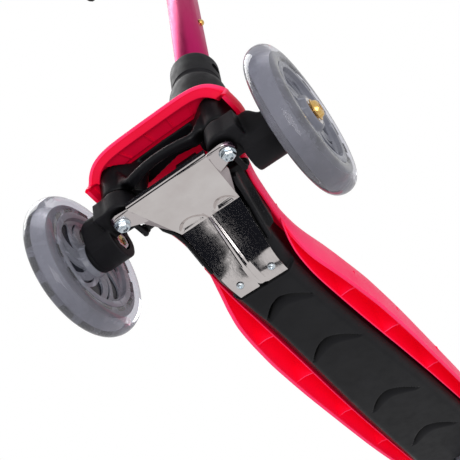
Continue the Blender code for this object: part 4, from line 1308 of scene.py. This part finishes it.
def height_clamp():
    """Collar at the top of the stem, with the two ears that its bolt draws together."""
    shape = Shape()
    shape.turn((
        (17.2, 474), (21.2, 474), (22.0, 475.4), (22.0, 484), (21.5, 484.6), (21.5, 486), (22.0, 486.6),
        (22.0, 505.5), (21.4, 508.4), (19.5, 510), (14.3, 510), (14.3, 500.5), (17.2, 500.5),
    ), LEAN, STEM_AXIS, 72)
    spot = stem_point(CLAMP_HEIGHT)
    outline = ((-34, -6), (-32, -8.6), (-19.5, -9), (-19.5, 9), (-32, 8.6), (-34, 6))
    ears = Shape()
    for side in (-1, 1):
        ears.loft([[(spot.x + x, side * y, spot.z + z) for x, z in outline] for y in (1.2, 8.5)])
    bore = Shape()
    bore.rod(2.6, -20, 20, (spot.x - 28, 0, spot.z), ALONG_Y, 24)
    ears.piece("clamp_ears", BLACK_MATT, "stem", tools=(bore,), bevel=0.9)
    shape.piece("clamp_skin", BLACK_MATT, "stem", ["height_clamp"], soft=34)


def clamp_lever():
    """Cam and curved finger lever of the quick release."""
    shape = Shape()
    shape.turn(((0, -8), (4.9, -8), (5.5, -7.2), (5.5, 7.2), (4.9, 8), (0, 8)), LEVER, ALONG_Z, 36)
    loops = []
    for bend in steps_between(0, 1, 24):
        x = LEVER.x + 56 * bend
        y = LEVER.y + 12 * math.sin(math.pi * min(1.0, bend * 1.15) * 0.62)
        wide = (7.6 - 1.4 * bend) * (1 - 0.35 * fade(bend, 0.92, 1.0))
        thick = 2.5 - 0.7 * fade(bend, 0.1, 0.9)
        loops.append([
            (x, y + thick * math.copysign(abs(s) ** 0.7, s), LEVER.z + wide * math.copysign(abs(c) ** 0.45, c))
            for c, s in oval(1, 1, 20)
        ])
    shape.loft(loops)
    shape.piece("clamp_lever_skin", BLACK_MATT, "clamp_lever", ["clamp_lever"], soft=40)


def handlebar():
    """Tee round the bar, and ribbed grips."""
    tee = Shape()
    tee.turn((
        (10.2, -30), (13.6, -30), (14.5, -28.8), (14.5, -22), (13.9, -21), (13.9, 21), (14.5, 22), (14.5, 28.8),
        (13.6, 30), (10.2, 30),
    ), BAR, ALONG_Y, 64)
    tee.turn([(r, BAR_HEIGHT + h) for r, h in (
        (14.25, -42), (16.6, -42), (17.4, -40.8), (17.4, -28), (16.2, -20), (15.0, -11.5), (14.25, -11.5),
    )], LEAN, STEM_AXIS, 64)
    tee.piece("bar_tee_skin", BLACK_MATT, "handlebar", ["bar_tee"], soft=34)
    for side in (-1, 1):
        profile = [(10.2, 60), (19.0, 60), (20.3, 61.2), (20.0, 62.8), (17.0, 64.4), (14.9, 66)]
        for index in range(GRIP_RIBS):
            start = 68 + index * GRIP_PITCH
            swell = 0.7 * math.sin(math.pi * (start - 66) / 74)
            rib = ((14.2, 0), (15.1, 0.7), (15.1, 2.7), (14.2, 3.4))
            profile += [(r + swell, start + h) for r, h in rib]
        profile += [(r, GRIP_END - h) for r, h in (
            (15.2, 13.0), (17.6, 10.5), (18.9, 6.9), (18.6, 3.9), (16.5, 1.3), (12.0, 0.1), (0, 0), (0, 5.2),
            (10.2, 5.2),
        )]
        grip = Shape()
        grip.turn(profile, BAR, ALONG_Y, 56, side)
        tag = SIDE_NAME[side]
        grip.piece("grip_skin_" + tag, GRIP, "handlebar", ["grip_" + tag], soft=32)


# ---------------------------------------------------------------- brake
FENDER_ARC = (38, 146)
PAD_ARC = (58, 134)


def brake_fender():
    """Arched fender with a ribbed foot pad, hinged ahead of the wheel."""
    low, high = FENDER_ARC
    shape = Shape()
    loops = []
    for angle in steps_between(low, high, 48):
        turn = math.radians(angle)
        c, s = math.cos(turn), math.sin(turn)
        end = fade(angle, high, high - 9)
        half = 14.0 - 2.5 * (1 - end)
        section = []
        for y, inner in ((-half, 45.4), (-half + 1.6, 43.7), (0, 43.5), (half - 1.6, 43.7), (half, 45.4)):
            section.append((REAR.x + inner * c, y, REAR.z + inner * s))
        for y, outer in ((half - 0.6, 46.2), (half * 0.5, 46.6), (-half * 0.5, 46.6), (-half + 0.6, 46.2)):
            section.append((REAR.x + outer * c, y, REAR.z + outer * s))
        loops.append(section)
    shape.loft(loops)
    shape.rod(6, -13.9, 13.9, BRAKE_PIVOT, ALONG_Y, 32, 3.1)
    hinge = BRAKE_PIVOT.x - FRONT.x
    shape.block((hinge - 12, hinge - 3.4), (-13.8, 13.8), (66.6, 73.4))
    shape.piece("fender_skin", BLACK, "brake", ["brake_fender"], soft=34)
    pad = Shape()
    loops = []
    low, high = PAD_ARC
    for angle in steps_between(low, high, 76):
        turn = math.radians(angle)
        c, s = math.cos(turn), math.sin(turn)
        groove = 1.0 * fade(math.sin(math.radians(angle * 36)), 0.2, 0.7)
        edge = fade(angle, low, low + 4) * fade(angle, high, high - 4)
        outer = 47.2 + (3.0 - groove) * edge
        half = 19.3 - 2.0 * (1 - edge)
        loops.append([(REAR.x + r * c, y, REAR.z + r * s) for y, r in (
            (-half, 45.9), (half, 45.9), (half, outer - 0.7), (half - 1.0, outer), (0, outer + 0.3),
            (-half + 1.0, outer), (-half, outer - 0.7),
        )])
    pad.loft(loops)
    pad.piece("foot_pad", GRIP, "brake", soft=30)


# ---------------------------------------------------------------- nodes that keep their own shape
def dress_nodes():
    """Materials and rounded edges for the CAD nodes that stay in view."""
    looks = {
        "lean_pin": ZINC, "rear_axle_bolt": ZINC, "rear_axle_nut": ZINC, "brake_pin": ZINC, "clamp_bolt": ZINC,
        "axle_nut_left": ZINC, "axle_nut_right": ZINC, "stub_tube": ALUMINIUM, "upper_tube": ALUMINIUM,
        "handlebar": TUBE,
    }
    for name, material in looks.items():
        item = frame["nodes"][name]
        item.data.materials.clear()
        item.data.materials.append(material)
        smooth(item, 40)
        round_edges(item, 0.35, 2, 50)


# ---------------------------------------------------------------- stage, light and camera
FLOOR_REACH = 6.0
WORLD_LIGHT = 0.70


def panel(name, corners):
    """One flat face between corners in metres."""
    mesh = bpy.data.meshes.new(name)
    mesh.from_pydata(corners, [], [tuple(range(len(corners)))])
    item = bpy.data.objects.new(name, mesh)
    bpy.context.scene.collection.objects.link(item)
    return item


def floor():
    """Pale floor that is seen from above only, since the main view looks up from under it."""
    square = ((-1, -1), (1, -1), (1, 1), (-1, 1))
    item = panel("floor", [(x * FLOOR_REACH, y * FLOOR_REACH, 0) for x, y in square])
    finish = Finish("floor_paint", (0.80, 0.80, 0.80), 0.85)
    finish.mottled(3.0, 4.0, (0.78, 0.78, 0.78), (0.82, 0.82, 0.82))
    tree = finish.tree
    clear = tree.nodes.new("ShaderNodeBsdfTransparent")
    mix = tree.nodes.new("ShaderNodeMixShader")
    geometry = tree.nodes.new("ShaderNodeNewGeometry")
    output = tree.nodes["Material Output"]
    tree.links.new(geometry.outputs["Backfacing"], mix.inputs["Fac"])
    tree.links.new(finish.shader.outputs["BSDF"], mix.inputs[1])
    tree.links.new(clear.outputs["BSDF"], mix.inputs[2])
    tree.links.new(mix.outputs["Shader"], output.inputs["Surface"])
    item.data.materials.append(finish.made)
    item.visible_shadow = False
    item.visible_diffuse = False
    item.visible_glossy = False


def card(name, corners, tone, strength):
    """Panel that only reflections see."""
    item = panel(name, corners)
    finish = Finish(name, (0.0, 0.0, 0.0), 1.0, Specular_IOR_Level=0.0)
    finish.shader.inputs["Emission Color"].default_value = (*tone, 1.0)
    finish.shader.inputs["Emission Strength"].default_value = strength
    item.data.materials.append(finish.made)
    item.visible_camera = False
    item.visible_diffuse = False
    item.visible_shadow = False
    item.visible_transmission = False
    item.visible_volume_scatter = False


def lamp(name, place, aim, size, power):
    data = bpy.data.lights.new(name, "AREA")
    data.size = size
    data.energy = power
    item = bpy.data.objects.new(name, data)
    item.location = place
    item.rotation_mode = "QUATERNION"
    item.rotation_quaternion = (Vector(aim) - Vector(place)).to_track_quat("-Z", "Y")
    item.visible_camera = False
    bpy.context.scene.collection.objects.link(item)


def studio():
    """White surroundings that light the scooter more softly than they look."""
    world = bpy.data.worlds.new("studio")
    world.use_nodes = True
    tree = world.node_tree
    background = tree.nodes["Background"]
    background.inputs["Color"].default_value = (1.0, 1.0, 1.0, 1.0)
    rays = tree.nodes.new("ShaderNodeLightPath")
    seen = tree.nodes.new("ShaderNodeMapRange")
    seen.inputs["To Min"].default_value = WORLD_LIGHT
    seen.inputs["To Max"].default_value = 1.0
    tree.links.new(rays.outputs["Is Camera Ray"], seen.inputs["Value"])
    tree.links.new(seen.outputs["Result"], background.inputs["Strength"])
    bpy.context.scene.world = world
    bpy.context.scene.view_settings.view_transform = "Standard"
    target = (0.15, 0.0, 0.06)
    lamp("key", (1.3, 0.9, -1.1), target, 1.1, 16)
    lamp("top", (0.6, -1.1, 2.2), target, 1.6, 34)
    shade = (0.010, 0.011, 0.015)
    below = (
        (0.62, 0.30), (0.62, -0.62), (0.20, -0.62), (0.20, -0.186), (0.30, -0.172), (0.42, -0.166),
        (0.42, -0.156), (0.10, -0.153), (-0.22, -0.150), (-0.22, -0.126), (0.10, -0.124), (0.235, -0.121),
        (0.275, -0.110), (0.262, -0.095), (0.255, 0.30),
    )
    front = ((0.85, -0.75, 0.45), (0.85, 0.15, 0.45), (0.62, 0.15, 1.0), (0.62, -0.75, 1.0))
    card("dark_below", [(x, y, -0.40) for x, y in below], shade, 1.0)
    card("dark_front", front, shade, 1.0)


CAMERA_PLACE = (0.6185, 0.205, -0.423)
CAMERA_RIGHT = (-0.5748, 0.8002, -0.1709)
CAMERA_DOWN = (-0.5214, -0.5191, -0.6773)
CAMERA_LENS = 69.5


def camera():
    right = Vector(CAMERA_RIGHT).normalized()
    forward = right.cross(Vector(CAMERA_DOWN)).normalized()
    down = forward.cross(right)
    data = bpy.data.cameras.new("view")
    data.sensor_width = 36.0
    data.lens = CAMERA_LENS
    data.clip_start = 0.01
    item = bpy.data.objects.new("view", data)
    turn = Matrix((right, -down, -forward)).transposed().to_4x4()
    item.matrix_world = Matrix.Translation(Vector(CAMERA_PLACE)) @ turn
    bpy.context.scene.collection.objects.link(item)
    bpy.context.scene.camera = item


def build():
    camera()
    studio()
    floor()
    dress_nodes()
    deck_shell()
    hood_lip()
    hood_ledge()
    deck_ribs()
    hem_bead()
    grip_pattern()
    chassis_beam()
    neck_cheeks()
    head_frame()
    base_plate()
    for side in (-1, 1):
        tag = SIDE_NAME[side]
        name = "front_wheel_" + tag
        wheel(name, name, (FRONT.x, side * FRONT_Y, FRONT.z), FRONT_R, FRONT_WHEEL_HALF, side)
        knuckle(side)
        axle_heads(side)
        hex_bolt("kingpin_head_" + tag, "deck", "kingpin_" + tag, kingpin_at(side, KINGPIN_HEAD_Z),
                 KINGPIN_TILT, 0.3, 4.6, 5.5, ZINC)
    tie_bar()
    wheel("rear_wheel", "rear_wheel", tuple(REAR), REAR_R, REAR_WHEEL_HALF)
    column()
    stem_tube()
    height_clamp()
    clamp_lever()
    handlebar()
    brake_fender()


build()
